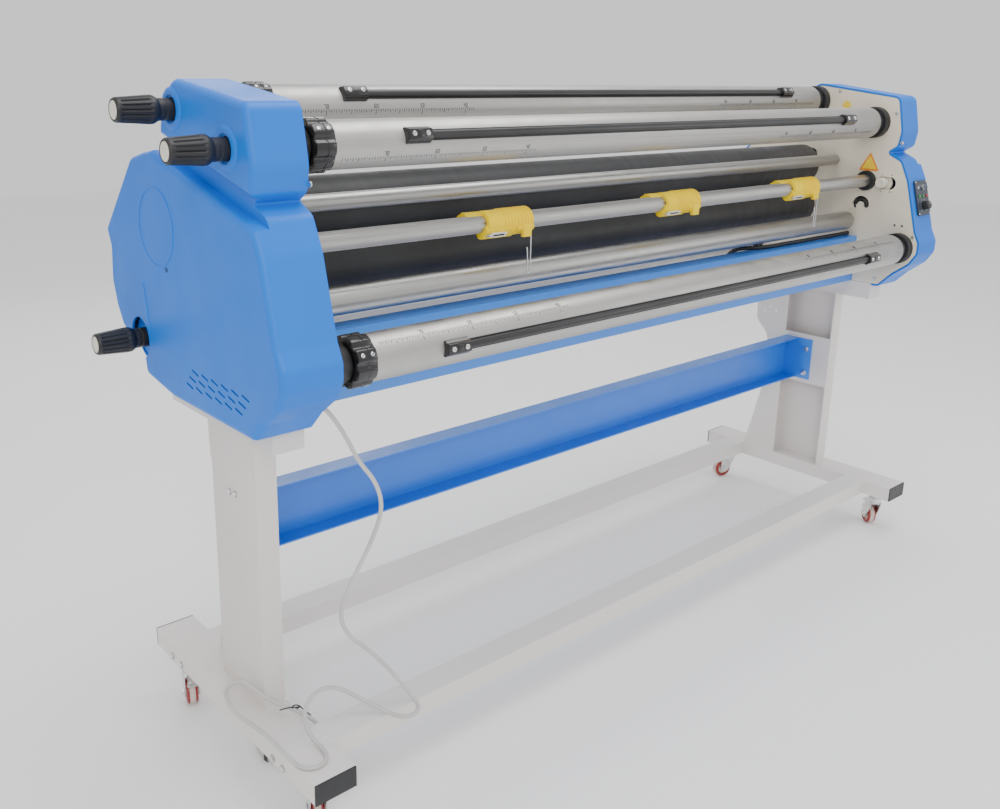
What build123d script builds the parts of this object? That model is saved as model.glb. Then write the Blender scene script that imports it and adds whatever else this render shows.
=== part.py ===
from build123d import *
import os
from math import asin, cos, degrees, hypot, pi, radians, sin, tan

# Cold roll laminator of the 1630 mm class, seen from its outfeed side (-Y).
# Working frame: X along the rollers (+X away from the knobs), Z up from the floor.
# Every length is in millimetres.

# ---------------------------------------------------------------- driving dimensions
PLATE_IN = 863.4            # inner face of each side plate, from the machine's centre
PLATE_T = 8.0               # thickness of a side plate
COVER_OUT = 963.0           # outer face of an end cover
POD_OUT = 952.0             # outer face of the cover's upper pod
GROOVE_OUT = 937.0          # bottom of the groove between the pod and the body
COVER_WALL = 4.0
EDGE_R = 11.0               # rounding of the covers' outer edges
COVER_GAP = 1.2             # gap between a plate's edge and the cover around it

FOOT_Z = 100.0              # underside of the feet, on their casters
FOOT_OUT = 939.0
FOOT_IN = 862.8
FOOT_HALF_LENGTH = 288.0
FOOT_H = 36.0
TUBE_WALL = 2.0
FOOT_TOP = FOOT_Z + FOOT_H
BAR_TOP = 674.0             # top of the leg's top bar, which carries the side plate
BAR_BOTTOM = 632.0
BAR_FRONT, BAR_REAR = -162.5, 182.0
BAR_X = (PLATE_IN, 919.0)

ROLLER_R = 52.0             # rubber-covered main rollers
ROLLER_HALF = 817.0
ROLLER_Y = 42.0
NIP_Z = 917.0
LIFT = 25.0                 # how far the upper roller opens
RUBBER_GAP = 0.3            # clearance at the nip
JOURNAL_R = 15.0
RUNNING = 0.05              # radial running clearance of every journal

SHAFT_R = 37.3              # three-inch film shafts
SHAFT_NEAR = -793.0
SHAFT_FAR = 817.0
FLANGE_R = 38.4
SHAFTS = {                  # name: (y, z, angle of the grip strip above horizontal)
    "top_rear": (42.9, 1132.0, 35.0),
    "top_front": (-123.8, 1082.7, 18.0),
    "take_up": (-221.2, 775.0, 2.0),
    "low_rear": (198.0, 748.0, 8.0),
}
KNOBBED = ("top_rear", "top_front", "low_rear")
STRIP_ENDS = (-666.0, 678.0)
BRACKET_LEN = 46.0

ROD_Y, ROD_Z, ROD_R = -117.9, 936.7, 15.75
SLITTERS = (-415.0, 76.0, 546.0)
SLITTER_LEN = 108.0
SLITTER_R = 23.0

IDLERS = {"upper_idler": (-34.0, 985.0, 14.5), "lower_idler": (-83.0, 832.0, 23.4)}
IDLER_PIN_R = 6.0

KNOB_LEN = 66.0
NECK_LEN = 24.0
KNOB_R = 21.5
NECK_R = 16.8

SHAFT_JOURNAL_R = 12.0
BEARING_NECK_R = 18.0
COLLAR_LEN = 36.0

CASTER_X = (FOOT_OUT + FOOT_IN) / 2
CASTER_Y = 232.0
STEM_R = 5.0
WHEEL_R = 26.0
WHEEL_W = 22.0
CASTER_TRAIL = 24.0

CORD_D = 7.2

# The row's origin is the middle of the part's footprint, on the floor.
KNOB_TIP_X = POD_OUT + NECK_LEN + KNOB_LEN
REAR_MOST = 306.0 + COVER_WALL + COVER_GAP


# ---------------------------------------------------------------- helpers
def block(x0, x1, y0, y1, z0, z1):
    size = Box(abs(x1 - x0), abs(y1 - y0), abs(z1 - z0))
    return Pos((x0 + x1) / 2, (y0 + y1) / 2, (z0 + z1) / 2) * size


def rod_x(x0, x1, y, z, r):
    return Pos((x0 + x1) / 2, y, z) * Rot(0, 90, 0) * Cylinder(r, abs(x1 - x0))


def rod_y(x, y0, y1, z, r):
    return Pos(x, (y0 + y1) / 2, z) * Rot(90, 0, 0) * Cylinder(r, abs(y1 - y0))


def rod_z(x, y, z0, z1, r):
    return Pos(x, y, (z0 + z1) / 2) * Cylinder(r, abs(z1 - z0))


def cone_x(x0, x1, y, z, r0, r1):
    """A cone along X with radius r0 at x0 and r1 at x1, x0 below x1."""
    return Pos((x0 + x1) / 2, y, z) * Rot(0, 90, 0) * Cone(r0, r1, x1 - x0)


def slab_yz(face, x0, x1):
    """A flat outline drawn in Y and Z, made solid from x0 up to x1."""
    return extrude(Plane.YZ.offset(x0) * face, amount=x1 - x0)


def outline(corners):
    """A closed outline from (y, z, corner radius) rows."""
    points = [(y, z) for y, z, _ in corners]
    radii = [r for _, _, r in corners]
    return make_face(FilletPolyline(*points, radius=radii, close=True))


def polar(y, z, r, angle):
    """The point at radius r and angle above horizontal, towards the outfeed side."""
    return y - r * cos(radians(angle)), z + r * sin(radians(angle))


def both(maker):
    """The same piece at the near (-1) and the far (+1) end."""
    return [maker(-1), maker(1)]


def mirrored(side, shape):
    """A shape drawn for the far end, turned over to the near end if side is -1."""
    return shape if side > 0 else mirror(shape, Plane.YZ)


PARTS = {}


def keep(name, *shapes):
    solids = []
    for shape in shapes:
        solids += list(shape.solids())
    PARTS[name] = solids


# ---------------------------------------------------------------- outlines of an end
PLATE_FRONT = [
    (-176, 1142, 14), (-192, 1062, 40), (-187, 1028, 12), (-159, 1009, 8), (-200, 989, 16),
    (-222, 942, 60), (-255, 818, 30), (-268, 792, 16), (-268, 766, 18), (-251, 738, 30),
    (-212, 708, 20), (-180, 674.6, 10),
]
PLATE_REAR = [
    (86, 674.6, 0), (182, 690, 10), (186, 714, 10), (272, 757, 16), (293, 790, 20),
    (306, 832, 30), (300, 893, 8), (313, 922, 8), (190, 1048, 16), (146, 1058, 14),
    (92, 1066, 12), (88, 1108, 20), (42, 1173, 22),
]
GROOVE_LOW = [(-202, 982), (115, 1069)]
GROOVE_HIGH = [(-190, 1018), (98, 1094)]
FAR_Y = 400.0


def end_outline():
    return outline(PLATE_FRONT + PLATE_REAR)


def grown(face, by):
    return offset(face, amount=by, kind=Kind.ARC)


def band(low, high):
    """A region of the YZ plane between two sloping lines, run past both ends."""
    def at(line, y):
        (y0, z0), (y1, z1) = line
        return z0 + (z1 - z0) * (y - y0) / (y1 - y0)
    points = [(-FAR_Y, at(low, -FAR_Y)), (FAR_Y, at(low, FAR_Y))]
    points += [(FAR_Y, at(high, FAR_Y)), (-FAR_Y, at(high, -FAR_Y))]
    return make_face(Polyline(*points, close=True))


ABOVE = [(-202, 1500), (115, 1500)]
BELOW = [(-202, 500), (115, 500)]


# ---------------------------------------------------------------- side plates
HOOK_Y, HOOK_Z, HOOK_R, HOOK_HALF = -110.0, 874.0, 15.5, 7.0
PEG_SLOT = (-170.0, 934.0, 17.0, 16.0)
HOLDER_R = 14.5              # the round end of the slot, where the lower idler's holder sits
SCREWS = (
    (-176, 1107), (-197, 1035), (-255, 806), (-172, 688),
    (70, 690), (270, 800), (170, 1036), (-20, 1160),
)
SCREW_HOLE_R = 2.6
ACCESSORY = ((-205.0, 830.5), (-224.0, 830.5))
ACCESSORY_HOLE_R = 3.3


def hook_slot():
    """The J-shaped slot, as outlines in Y and Z, that the lower idler is dropped into."""
    over = Circle(HOOK_R + HOOK_HALF) - Circle(HOOK_R - HOOK_HALF)
    over -= Pos(0, -FAR_Y / 2) * Rectangle(FAR_Y, FAR_Y)
    y, z, _ = IDLERS["lower_idler"]
    leg_y = HOOK_Y + HOOK_R
    leg = Polygon((leg_y - HOOK_HALF, HOOK_Z), (leg_y + HOOK_HALF, HOOK_Z),
                  (y + HOOK_HALF, z), (y - HOOK_HALF, z), align=None)
    bulb = Pos(HOOK_Y - HOOK_R, HOOK_Z) * Circle(HOOK_HALF)
    return [Pos(HOOK_Y, HOOK_Z) * over, leg, bulb, Pos(y, z) * Circle(HOLDER_R)]


def side_plate(side):
    x0, x1 = PLATE_IN, PLATE_IN + PLATE_T
    plate = slab_yz(end_outline(), x0, x1)
    for y, z, _ in SHAFTS.values():
        plate -= rod_x(x0 - 1, x1 + 1, y, z, BEARING_NECK_R)
    lower_z = NIP_Z - ROLLER_R
    upper_z = NIP_Z + ROLLER_R
    plate -= rod_x(x0 - 1, x1 + 1, ROLLER_Y, lower_z, JOURNAL_R + 1.5)
    slot = SlotCenterToCenter(LIFT, 2 * JOURNAL_R + 3, rotation=90)
    slot = Pos(ROLLER_Y, upper_z + LIFT / 2) * slot
    plate -= slab_yz(slot, x0 - 1, x1 + 1)
    y, z, _ = IDLERS["upper_idler"]
    plate -= rod_x(x0 - 1, x1 + 1, y, z, IDLER_PIN_R + RUNNING)
    for shape in hook_slot():
        plate -= slab_yz(shape, x0 - 1, x1 + 1)
    y, z, half, r = PEG_SLOT
    plate -= slab_yz(Pos(y, z) * SlotOverall(2 * (half + 8), 2 * r), x0 - 1, x1 + 1)
    for y, z in SCREWS:
        plate -= rod_x(x0 - 1, x1 + 1, y, z, SCREW_HOLE_R)
    for y, z in ACCESSORY:
        plate -= rod_x(x0 - 1, x1 + 1, y, z, ACCESSORY_HOLE_R)
    return mirrored(side, plate)


# ---------------------------------------------------------------- end covers
def cover_layers(grow, cut):
    """The cover's form in three layers: base, body cap and pod cap; cut lowers each top."""
    face = grown(end_outline(), COVER_GAP + COVER_WALL + grow)
    floor = GROOVE_OUT - cut
    base = slab_yz(face, PLATE_IN, floor)
    low = [(y, z - cut) for y, z in GROOVE_LOW]
    high = [(y, z + cut) for y, z in GROOVE_HIGH]
    body = slab_yz(face & band(BELOW, low), floor, COVER_OUT - cut)
    pod = slab_yz(face & band(high, ABOVE), floor, POD_OUT - cut)
    return base, body, pod


POCKETED = "low_rear"       # this knob sits in a round recess, so that it stands out like the others
POCKET_R, POCKET_WALL = 36.0, 4.0
VENT_ROWS, VENTS_PER_ROW = 3, 6
VENT_FIRST_Y, VENT_PITCH, VENT_STAGGER = -8.0, 32.0, 11.0
VENT_TOP_Z, VENT_ROW_DROP = 733.0, 13.0
VENT_HALF, VENT_HALF_H, VENT_SLANT = 11.0, 1.7, 14.0


def end_cover(side):
    base, body, pod = cover_layers(0, 0)
    body = fillet(body.faces().sort_by(Axis.X)[-1].edges(), EDGE_R)
    pod = fillet(pod.faces().sort_by(Axis.X)[-1].edges(), EDGE_R)
    shell = base + body + pod
    for layer in cover_layers(-COVER_WALL - 0.4, COVER_WALL):
        shell -= layer
    y, z, _ = SHAFTS[POCKETED]
    if side < 0:
        shell += rod_x(POD_OUT - POCKET_WALL - 8, POD_OUT - 2, y, z, POCKET_R + POCKET_WALL)
        shell -= rod_x(POD_OUT - 4, COVER_OUT + 1, y, z, POCKET_R)
        shell -= rod_x(PLATE_IN, POD_OUT - 8, y, z, POCKET_R)
        for name in KNOBBED:
            y, z, _ = SHAFTS[name]
            shell -= rod_x(PLATE_IN + PLATE_T + 2, COVER_OUT + 1, y, z, NECK_R + 1.2)
    for row in range(VENT_ROWS):
        for k in range(VENTS_PER_ROW):
            vy = VENT_FIRST_Y - VENT_PITCH * k + VENT_STAGGER * row
            vz = VENT_TOP_Z - VENT_ROW_DROP * row
            vent = block(COVER_OUT - 2 * COVER_WALL, COVER_OUT + 1,
                         -VENT_HALF, VENT_HALF, -VENT_HALF_H, VENT_HALF_H)
            shell -= Pos(0, vy, vz) * Rot(VENT_SLANT, 0, 0) * vent
    shell -= block(PLATE_IN - 1, BAR_X[1] + 2, BAR_FRONT - 2, BAR_REAR + 2, 0, BAR_TOP + 0.6)
    return mirrored(side, shell)


# ---------------------------------------------------------------- stand
STRETCHERS = {"front_stretcher": (-213.0, -159.0), "rear_stretcher": (164.0, 219.0)}
FOOT_BOLTS = (217.5, 179.5, -159.0, -190.5)
WEB_X = 902.0
LEG_FRONT, LEG_REAR = -73.0, 78.0
SHEET = 3.0
CAP_T = 3.0


def hollow(x0, x1, y0, y1, z0, z1, along):
    """A rectangular tube that runs along the named axis."""
    wall = {axis: 0 if axis == along else TUBE_WALL for axis in "xyz"}
    inner = block(x0 + wall["x"], x1 - wall["x"], y0 + wall["y"], y1 - wall["y"],
                  z0 + wall["z"], z1 - wall["z"])
    return block(x0, x1, y0, y1, z0, z1) - inner


def foot(side):
    half = FOOT_HALF_LENGTH - CAP_T
    tube = hollow(FOOT_IN, FOOT_OUT, -half, half, FOOT_Z, FOOT_TOP, "y")
    for y in (-CASTER_Y, CASTER_Y):
        tube -= rod_z(CASTER_X, y, FOOT_Z - 1, FOOT_Z + TUBE_WALL + 1, STEM_R)
    return mirrored(side, tube)


def foot_caps():
    """Ribbed plastic plugs pressed into the four open ends of the feet."""
    half = FOOT_HALF_LENGTH
    caps = []
    for side in (-1, 1):
        for end in (-1, 1):
            face = block(FOOT_IN, FOOT_OUT, half - CAP_T, half, FOOT_Z, FOOT_TOP)
            plug = block(FOOT_IN + TUBE_WALL, FOOT_OUT - TUBE_WALL, half - 18, half - CAP_T,
                         FOOT_Z + TUBE_WALL, FOOT_TOP - TUBE_WALL)
            core = block(FOOT_IN + 5, FOOT_OUT - 5, half - 19, half - CAP_T - 2,
                         FOOT_Z + 5, FOOT_TOP - 5)
            cap = face + (plug - core)
            if end < 0:
                cap = mirror(cap, Plane.XZ)
            caps.append(mirrored(side, cap))
    return caps


def leg(side):
    """A welded leg: an inward-facing channel, a rear gusset plate and the top bar."""
    x0, x1 = PLATE_IN, WEB_X
    column = block(x0, x1, LEG_FRONT, LEG_REAR, FOOT_TOP, BAR_BOTTOM)
    column -= block(x0 - 1, x1 - SHEET, LEG_FRONT + SHEET, LEG_REAR - SHEET, FOOT_TOP - 1, BAR_BOTTOM + 1)
    gusset = outline([
        (64, FOOT_TOP, 0), (162, FOOT_TOP, 4), (122, 316, 60), (117, 460, 40), (122, 482, 30),
        (158, 520, 20), (162, BAR_BOTTOM, 0), (64, BAR_BOTTOM, 0),
    ])
    plate = slab_yz(gusset, x0, x0 + SHEET)
    for y, z in ((119, 561), (137, 546), (100, 552)):
        plate -= rod_x(x0 - 1, x0 + SHEET + 1, y, z, 3.0)
    bar = hollow(BAR_X[0], BAR_X[1], BAR_FRONT, BAR_REAR, BAR_BOTTOM, BAR_TOP, "y")
    bar += block(BAR_X[0], BAR_X[1], BAR_FRONT, BAR_FRONT + TUBE_WALL, BAR_BOTTOM, BAR_TOP)
    bar += block(BAR_X[0], BAR_X[1], BAR_REAR - TUBE_WALL, BAR_REAR, BAR_BOTTOM, BAR_TOP)
    pad = block(x0, x0 + SHEET, LEG_FRONT + SHEET, LEG_REAR, CHANNEL_Z[0] - 12, CHANNEL_Z[1] + 12)
    for z in CHANNEL_HOLES:
        pad -= rod_x(x0 - 1, x0 + SHEET + 1, CHANNEL_BOLT_Y, z, 4.2)
    return mirrored(side, column + plate + bar + pad)


CHANNEL_Y = (20.0, 60.0)
CHANNEL_Z = (377.0, 491.0)
CHANNEL_HOLES = (395.0, 462.0)
CHANNEL_BOLT_Y = -6.0
END_PLATE = 5.0
BEAM_Y = (-111.0, -66.0)
BEAM_Z = (675.0, 792.0)
BEAM_BOLTS = (700.0, 765.0)
BEAM_WALL = 4.0


def cross_channel():
    """The folded channel that ties the legs, with a drilled plate on each end."""
    y0, y1 = CHANNEL_Y
    z0, z1 = CHANNEL_Z
    x = PLATE_IN - END_PLATE
    bar = block(-x, x, y0, y1, z0, z1)
    bar -= block(-x - 1, x + 1, y0 - 1, y1 - SHEET, z0 + SHEET, z1 - SHEET)
    for side in (-1, 1):
        plate = block(x, PLATE_IN, -22, y1, z0, z1)
        for z in CHANNEL_HOLES:
            plate -= rod_x(x - 1, PLATE_IN + 1, CHANNEL_BOLT_Y, z, 4.2)
        bar += mirrored(side, plate)
    return bar


def upper_beam():
    """The deep channel between the side plates, with its back open to the rear."""
    y0, y1 = BEAM_Y
    z0, z1 = BEAM_Z
    x = PLATE_IN
    bar = block(-x, x, y0, y1, z0, z1)
    bar -= block(-x + BEAM_WALL, x - BEAM_WALL, y0 + BEAM_WALL, y1 + 1, z0 + BEAM_WALL, z1 - BEAM_WALL)
    return bar


def hex_bolt(y, z, x, r=6.5, head=4.5):
    """A hexagon head on the outer side of the surface at x, for the far end."""
    blank = extrude(Plane.YZ.offset(x) * Pos(y, z) * RegularPolygon(r, 6), amount=head)
    return blank + rod_x(x + head, x + head + 1.5, y, z, r * 0.62)


def frame_bolts():
    heads = []
    for side in (-1, 1):
        for y in FOOT_BOLTS:
            heads.append(mirrored(side, hex_bolt(y, FOOT_Z + 9, FOOT_OUT)))
        for y, z in ((-2, 510), (18, 508)):
            heads.append(mirrored(side, hex_bolt(y, z, WEB_X, 5.5, 4)))
        for z in CHANNEL_HOLES:
            x = PLATE_IN - END_PLATE
            bolt = rod_x(x - 5, x, CHANNEL_BOLT_Y, z, 7)
            bolt += rod_x(x, x + END_PLATE + SHEET + 6, CHANNEL_BOLT_Y, z, 4)
            heads.append(mirrored(side, bolt))
    return heads


keep("foot_near", foot(-1))
keep("foot_far", foot(1))
keep("foot_end_caps", *foot_caps())
for name, (y0, y1) in STRETCHERS.items():
    keep(name, hollow(-FOOT_IN, FOOT_IN, y0, y1, FOOT_Z, FOOT_TOP, "x"))
keep("leg_near", leg(-1))
keep("leg_far", leg(1))
keep("cross_channel", cross_channel())
keep("upper_beam", upper_beam())
keep("frame_bolts", *frame_bolts())

# ---------------------------------------------------------------- casters
CASTERS = {                 # name: (end, front or rear, heading of the trail in degrees)
    "front_near": (-1, -1, 65.0),
    "front_far": (1, -1, 50.0),
    "rear_near": (-1, 1, 250.0),
    "rear_far": (1, 1, 160.0),
}
CUP_TOP = 86.0
CUP_BOTTOM = 72.0
ARM_T = 2.5
ARM_IN = WHEEL_W / 2 + 1.5
AXLE_R = 4.0


def caster_stem(x, y):
    """Threaded stem with its lock nut and the fixed race that the fork turns on."""
    nut = extrude(Pos(0, 0, FOOT_Z - 9) * RegularPolygon(11, 6), amount=9)
    race = Pos(0, 0, (CUP_TOP + FOOT_Z - 9) / 2) * Cylinder(15, FOOT_Z - 9 - CUP_TOP)
    stem = rod_z(0, 0, CUP_BOTTOM + 4, FOOT_Z + 12, STEM_R)
    return Pos(x, y, 0) * (nut + race + stem)


def caster_fork(x, y, heading):
    """A swivel cup, two bowed arms and the brake tab, trailing along +X before it turns."""
    cup = Pos(0, 0, (CUP_TOP + CUP_BOTTOM) / 2) * Cylinder(17, CUP_TOP - CUP_BOTTOM)
    cup -= rod_z(0, 0, CUP_BOTTOM - 1, CUP_TOP + 1, STEM_R + RUNNING)
    cup += rod_z(0, 0, CUP_BOTTOM - 1, CUP_BOTTOM + 3.5, 17)
    bridge = block(-14, CASTER_TRAIL + 4, -ARM_IN - ARM_T, ARM_IN + ARM_T, CUP_BOTTOM - 4, CUP_BOTTOM)
    side_view = make_face(Polyline(
        (-14, CUP_BOTTOM), (CASTER_TRAIL + 4, CUP_BOTTOM), (CASTER_TRAIL + 13, WHEEL_R + 10),
        (CASTER_TRAIL + 11, WHEEL_R - 9), (CASTER_TRAIL - 11, WHEEL_R - 9), (-4, CUP_BOTTOM - 24),
        close=True))
    fork = cup + bridge
    for s in (-1, 1):
        y_in = s * ARM_IN if s > 0 else -ARM_IN - ARM_T
        fork += extrude(Plane.XZ.offset(-y_in - ARM_T) * side_view, amount=ARM_T)
    fork += Pos(CASTER_TRAIL, 0, WHEEL_R) * Rot(90, 0, 0) * Cylinder(AXLE_R, 2 * (ARM_IN + ARM_T) + 6)
    tab = Pos(CASTER_TRAIL + 16, 0, WHEEL_R + 36) * Rot(0, 26, 0) * Box(38, 20, 3)
    return Pos(x, y, 0) * Rot(0, 0, heading) * (fork + tab)


def caster_wheel(x, y, heading):
    """A soft tyre with a raised centre band on a plastic hub."""
    half = WHEEL_W / 2
    profile = [(AXLE_R + RUNNING, -half), (9, -half), (9, -half + 3), (17, -half + 3), (18, -half + 1),
               (22, -half), (WHEEL_R - 0.6, -half + 3), (WHEEL_R, -3), (WHEEL_R, 3),
               (WHEEL_R - 0.6, half - 3), (22, half), (18, half - 1), (17, half - 3), (9, half - 3),
               (9, half), (AXLE_R + RUNNING, half)]
    face = Plane.XZ * make_face(Polyline(*profile, close=True))
    wheel = Pos(CASTER_TRAIL, 0, WHEEL_R) * Rot(90, 0, 0) * revolve(face, Axis.Z)
    return Pos(x, y, 0) * Rot(0, 0, heading) * wheel


stems = []
for name, (side, end, heading) in CASTERS.items():
    spot = (side * CASTER_X, end * CASTER_Y)
    stems.append(caster_stem(*spot))
    keep(f"caster_fork_{name}", caster_fork(*spot, heading))
    keep(f"caster_wheel_{name}", caster_wheel(*spot, heading))
keep("caster_stems", *stems)

# ---------------------------------------------------------------- ends
SCREW_R = 4.6


def cover_screws():
    """Pan-head screws that hold each cover to its plate."""
    heads = []
    for side in (-1, 1):
        for y, z in SCREWS:
            screw = rod_x(PLATE_IN - 2.6, PLATE_IN, y, z, SCREW_R)
            screw += rod_x(PLATE_IN, PLATE_IN + PLATE_T + 6, y, z, 2.5)
            heads.append(mirrored(side, screw))
    return heads


keep("side_plate_near", side_plate(-1))
keep("side_plate_far", side_plate(1))
keep("end_cover_near", end_cover(-1))
keep("end_cover_far", end_cover(1))
keep("cover_screws", *cover_screws())

# ---------------------------------------------------------------- main rollers and drive
UPPER_Z = NIP_Z + ROLLER_R + RUBBER_GAP / 2
LOWER_Z = NIP_Z - ROLLER_R - RUBBER_GAP / 2
BLOCK_X = (PLATE_IN + PLATE_T + 1.6, PLATE_IN + PLATE_T + 21.6)
BLOCK_HALF = 30.0
CHAIN_PITCH = 9.525
ROLLER_TEETH, MOTOR_TEETH = 30, 13
CHAIN_X = -911.0
CHAIN_HALF = 6.0
MOTOR_AXIS = (-20.0, 742.0)
CYLINDER_Y = ROLLER_Y + 74.0
CYLINDER_X = 890.0


def pitch_radius(teeth):
    return CHAIN_PITCH / 2 / sin(pi / teeth)


def roller(z, near_end):
    """A steel tube core with a bonded rubber cover, turned ends and journals."""
    rubber = rod_x(-ROLLER_HALF, ROLLER_HALF, ROLLER_Y, z, ROLLER_R)
    rubber = chamfer(rubber.edges(), 3)
    ends = rod_x(-ROLLER_HALF - 10, ROLLER_HALF + 10, ROLLER_Y, z, 40)
    journals = rod_x(-near_end, BLOCK_X[1] + 2, ROLLER_Y, z, JOURNAL_R)
    return rubber + ends + journals


def sprocket(teeth, y, z, bore):
    r = pitch_radius(teeth)
    disc = Circle(r - 2.2)
    tooth = Polygon((-2.4, 0), (2.4, 0), (0.9, 5.4), (-0.9, 5.4), align=None)
    for k in range(teeth):
        disc += Rot(0, 0, 360 * k / teeth) * Pos(0, r - 3.2) * tooth
    wheel = extrude(disc, amount=2, both=True) + Cylinder(min(bore + 6, r - 6), 10)
    wheel -= Cylinder(bore, 20)
    return Pos(CHAIN_X, y, z) * Rot(0, 90, 0) * wheel


def chain():
    """Two rows of link plates round both sprockets, with pins along the free runs."""
    circles = ((MOTOR_AXIS, pitch_radius(MOTOR_TEETH)), ((ROLLER_Y, LOWER_Z), pitch_radius(ROLLER_TEETH)))

    def loop(grow):
        edges = []
        for centre, r in circles:
            edges += (Pos(*centre) * Circle(r + grow)).edges()
        return make_hull(edges)
    ring = loop(4.2) - loop(-4.2)
    plates = slab_yz(ring, CHAIN_X - CHAIN_HALF, CHAIN_X - CHAIN_HALF + 2)
    plates += slab_yz(ring, CHAIN_X + CHAIN_HALF - 2, CHAIN_X + CHAIN_HALF)
    (ya, za), ra = circles[0]
    (yb, zb), rb = circles[1]
    run = hypot(yb - ya, zb - za)
    along = degrees(asin((zb - za) / run))
    lean = degrees(asin((rb - ra) / run))
    for turn in (along + 90 + lean, along - 90 - lean):
        c, s = cos(radians(turn)), sin(radians(turn))
        start = (ya + ra * c, za + ra * s)
        stop = (yb + rb * c, zb + rb * s)
        for k in range(3, 10):
            f = k / 12
            y = start[0] + (stop[0] - start[0]) * f
            z = start[1] + (stop[1] - start[1]) * f
            plates += rod_x(CHAIN_X - CHAIN_HALF, CHAIN_X + CHAIN_HALF, y, z, 3)
    return plates


def upper_blocks(side):
    """The sliding bearing block, its lifting ear and the rod that pushes it up."""
    x0, x1 = BLOCK_X
    y, z = ROLLER_Y, UPPER_Z
    carrier = block(x0, x1, y - BLOCK_HALF, y + BLOCK_HALF, z - BLOCK_HALF, z + BLOCK_HALF)
    carrier += block(x0, x1 + 6, y + BLOCK_HALF - 4, CYLINDER_Y + 14, z - BLOCK_HALF, z - BLOCK_HALF + 12)
    carrier -= rod_x(x0 - 1, x1 + 1, y, z, JOURNAL_R + RUNNING)
    carrier += rod_z(CYLINDER_X, CYLINDER_Y, 850, z - BLOCK_HALF, 6)
    return mirrored(side, carrier)


def lower_blocks(side):
    x0, x1 = BLOCK_X
    y, z = ROLLER_Y, LOWER_Z
    housing = block(x0, x1, y - BLOCK_HALF, y + BLOCK_HALF, z - BLOCK_HALF, z + BLOCK_HALF)
    housing -= rod_x(x0 - 1, x1 + 1, y, z, JOURNAL_R + RUNNING)
    for dy in (-22, 22):
        for dz in (-22, 22):
            housing += rod_x(PLATE_IN + PLATE_T, x0, y + dy, z + dz, 5)
            housing += rod_x(x1, x1 + 4, y + dy, z + dz, 5)
    return mirrored(side, housing)


def lift_cylinder(side):
    """An air cylinder with a foot on the plate; its bore runs on the lifting rod."""
    top = UPPER_Z - BLOCK_HALF - 12
    body = rod_z(CYLINDER_X, CYLINDER_Y, 800, top, 15)
    body += block(PLATE_IN + PLATE_T, CYLINDER_X, CYLINDER_Y - 12, CYLINDER_Y + 12, 802, 826)
    body -= rod_z(CYLINDER_X, CYLINDER_Y, 810, top + 1, 6 + RUNNING)
    return mirrored(side, body)


def drive_motor():
    """A geared motor on its back plate, with the output shaft towards the side plate."""
    y, z = MOTOR_AXIS
    gearbox = block(-955, -921, y - 36, y + 36, z - 36, z + 36)
    gearbox += rod_x(-921, -919, y, z, 26)
    gearbox -= rod_x(-950, -918, y, z, 7 + RUNNING)
    motor = rod_y(-926, y - 160, y - 36, z, 28)
    motor = chamfer(motor.faces().sort_by(Axis.Y)[0].edges(), 4)
    for k in range(9):
        motor += rod_y(-926, y - 146 + 11 * k, y - 142 + 11 * k, z, 30.5)
    posts = []
    for dy in (-28, 28):
        posts.append(rod_x(-921, -PLATE_IN - PLATE_T, y + dy, z - 28, 5))
    return gearbox + motor + posts[0] + posts[1]


def motor_sprocket():
    y, z = MOTOR_AXIS
    shaft = rod_x(-948, CHAIN_X + 7, y, z, 7)
    return sprocket(MOTOR_TEETH, y, z, 5) + shaft


keep("upper_roller", roller(UPPER_Z, BLOCK_X[1] + 2))
keep("lower_roller", roller(LOWER_Z, -CHAIN_X + 7) + sprocket(ROLLER_TEETH, ROLLER_Y, LOWER_Z, JOURNAL_R - 1))
keep("upper_bearing_blocks", *both(upper_blocks))
keep("lower_bearing_blocks", *both(lower_blocks))
keep("lift_cylinders", *both(lift_cylinder))
keep("drive_motor", drive_motor())
keep("motor_sprocket", motor_sprocket())
keep("drive_chain", chain())

# ---------------------------------------------------------------- film shafts
STRIP_W, STRIP_H = 13.0, 8.0
BRACKET_W, BRACKET_H = 26.0, 13.0
COLLAR_R = 41.0
FAR_NECK = 820.0
BRAKE_X = -930.0
BRAKE_R = 22.0


def film_shaft(name):
    """An aluminium tube with plugged ends and a steel journal through each plate."""
    y, z, _ = SHAFTS[name]
    tube = rod_x(SHAFT_NEAR, SHAFT_FAR, y, z, SHAFT_R) - rod_x(SHAFT_NEAR - 1, SHAFT_FAR + 1, y, z, SHAFT_R - 3)
    tube += rod_x(SHAFT_NEAR, SHAFT_NEAR + 22, y, z, SHAFT_R - 3)
    tube += rod_x(SHAFT_FAR - 22, SHAFT_FAR, y, z, SHAFT_R - 3)
    near_end = -906 if name in KNOBBED else -888
    tube += rod_x(near_end, SHAFT_NEAR, y, z, SHAFT_JOURNAL_R)
    tube += rod_x(SHAFT_FAR, PLATE_IN + PLATE_T + 4, y, z, SHAFT_JOURNAL_R)
    return tube


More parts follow.
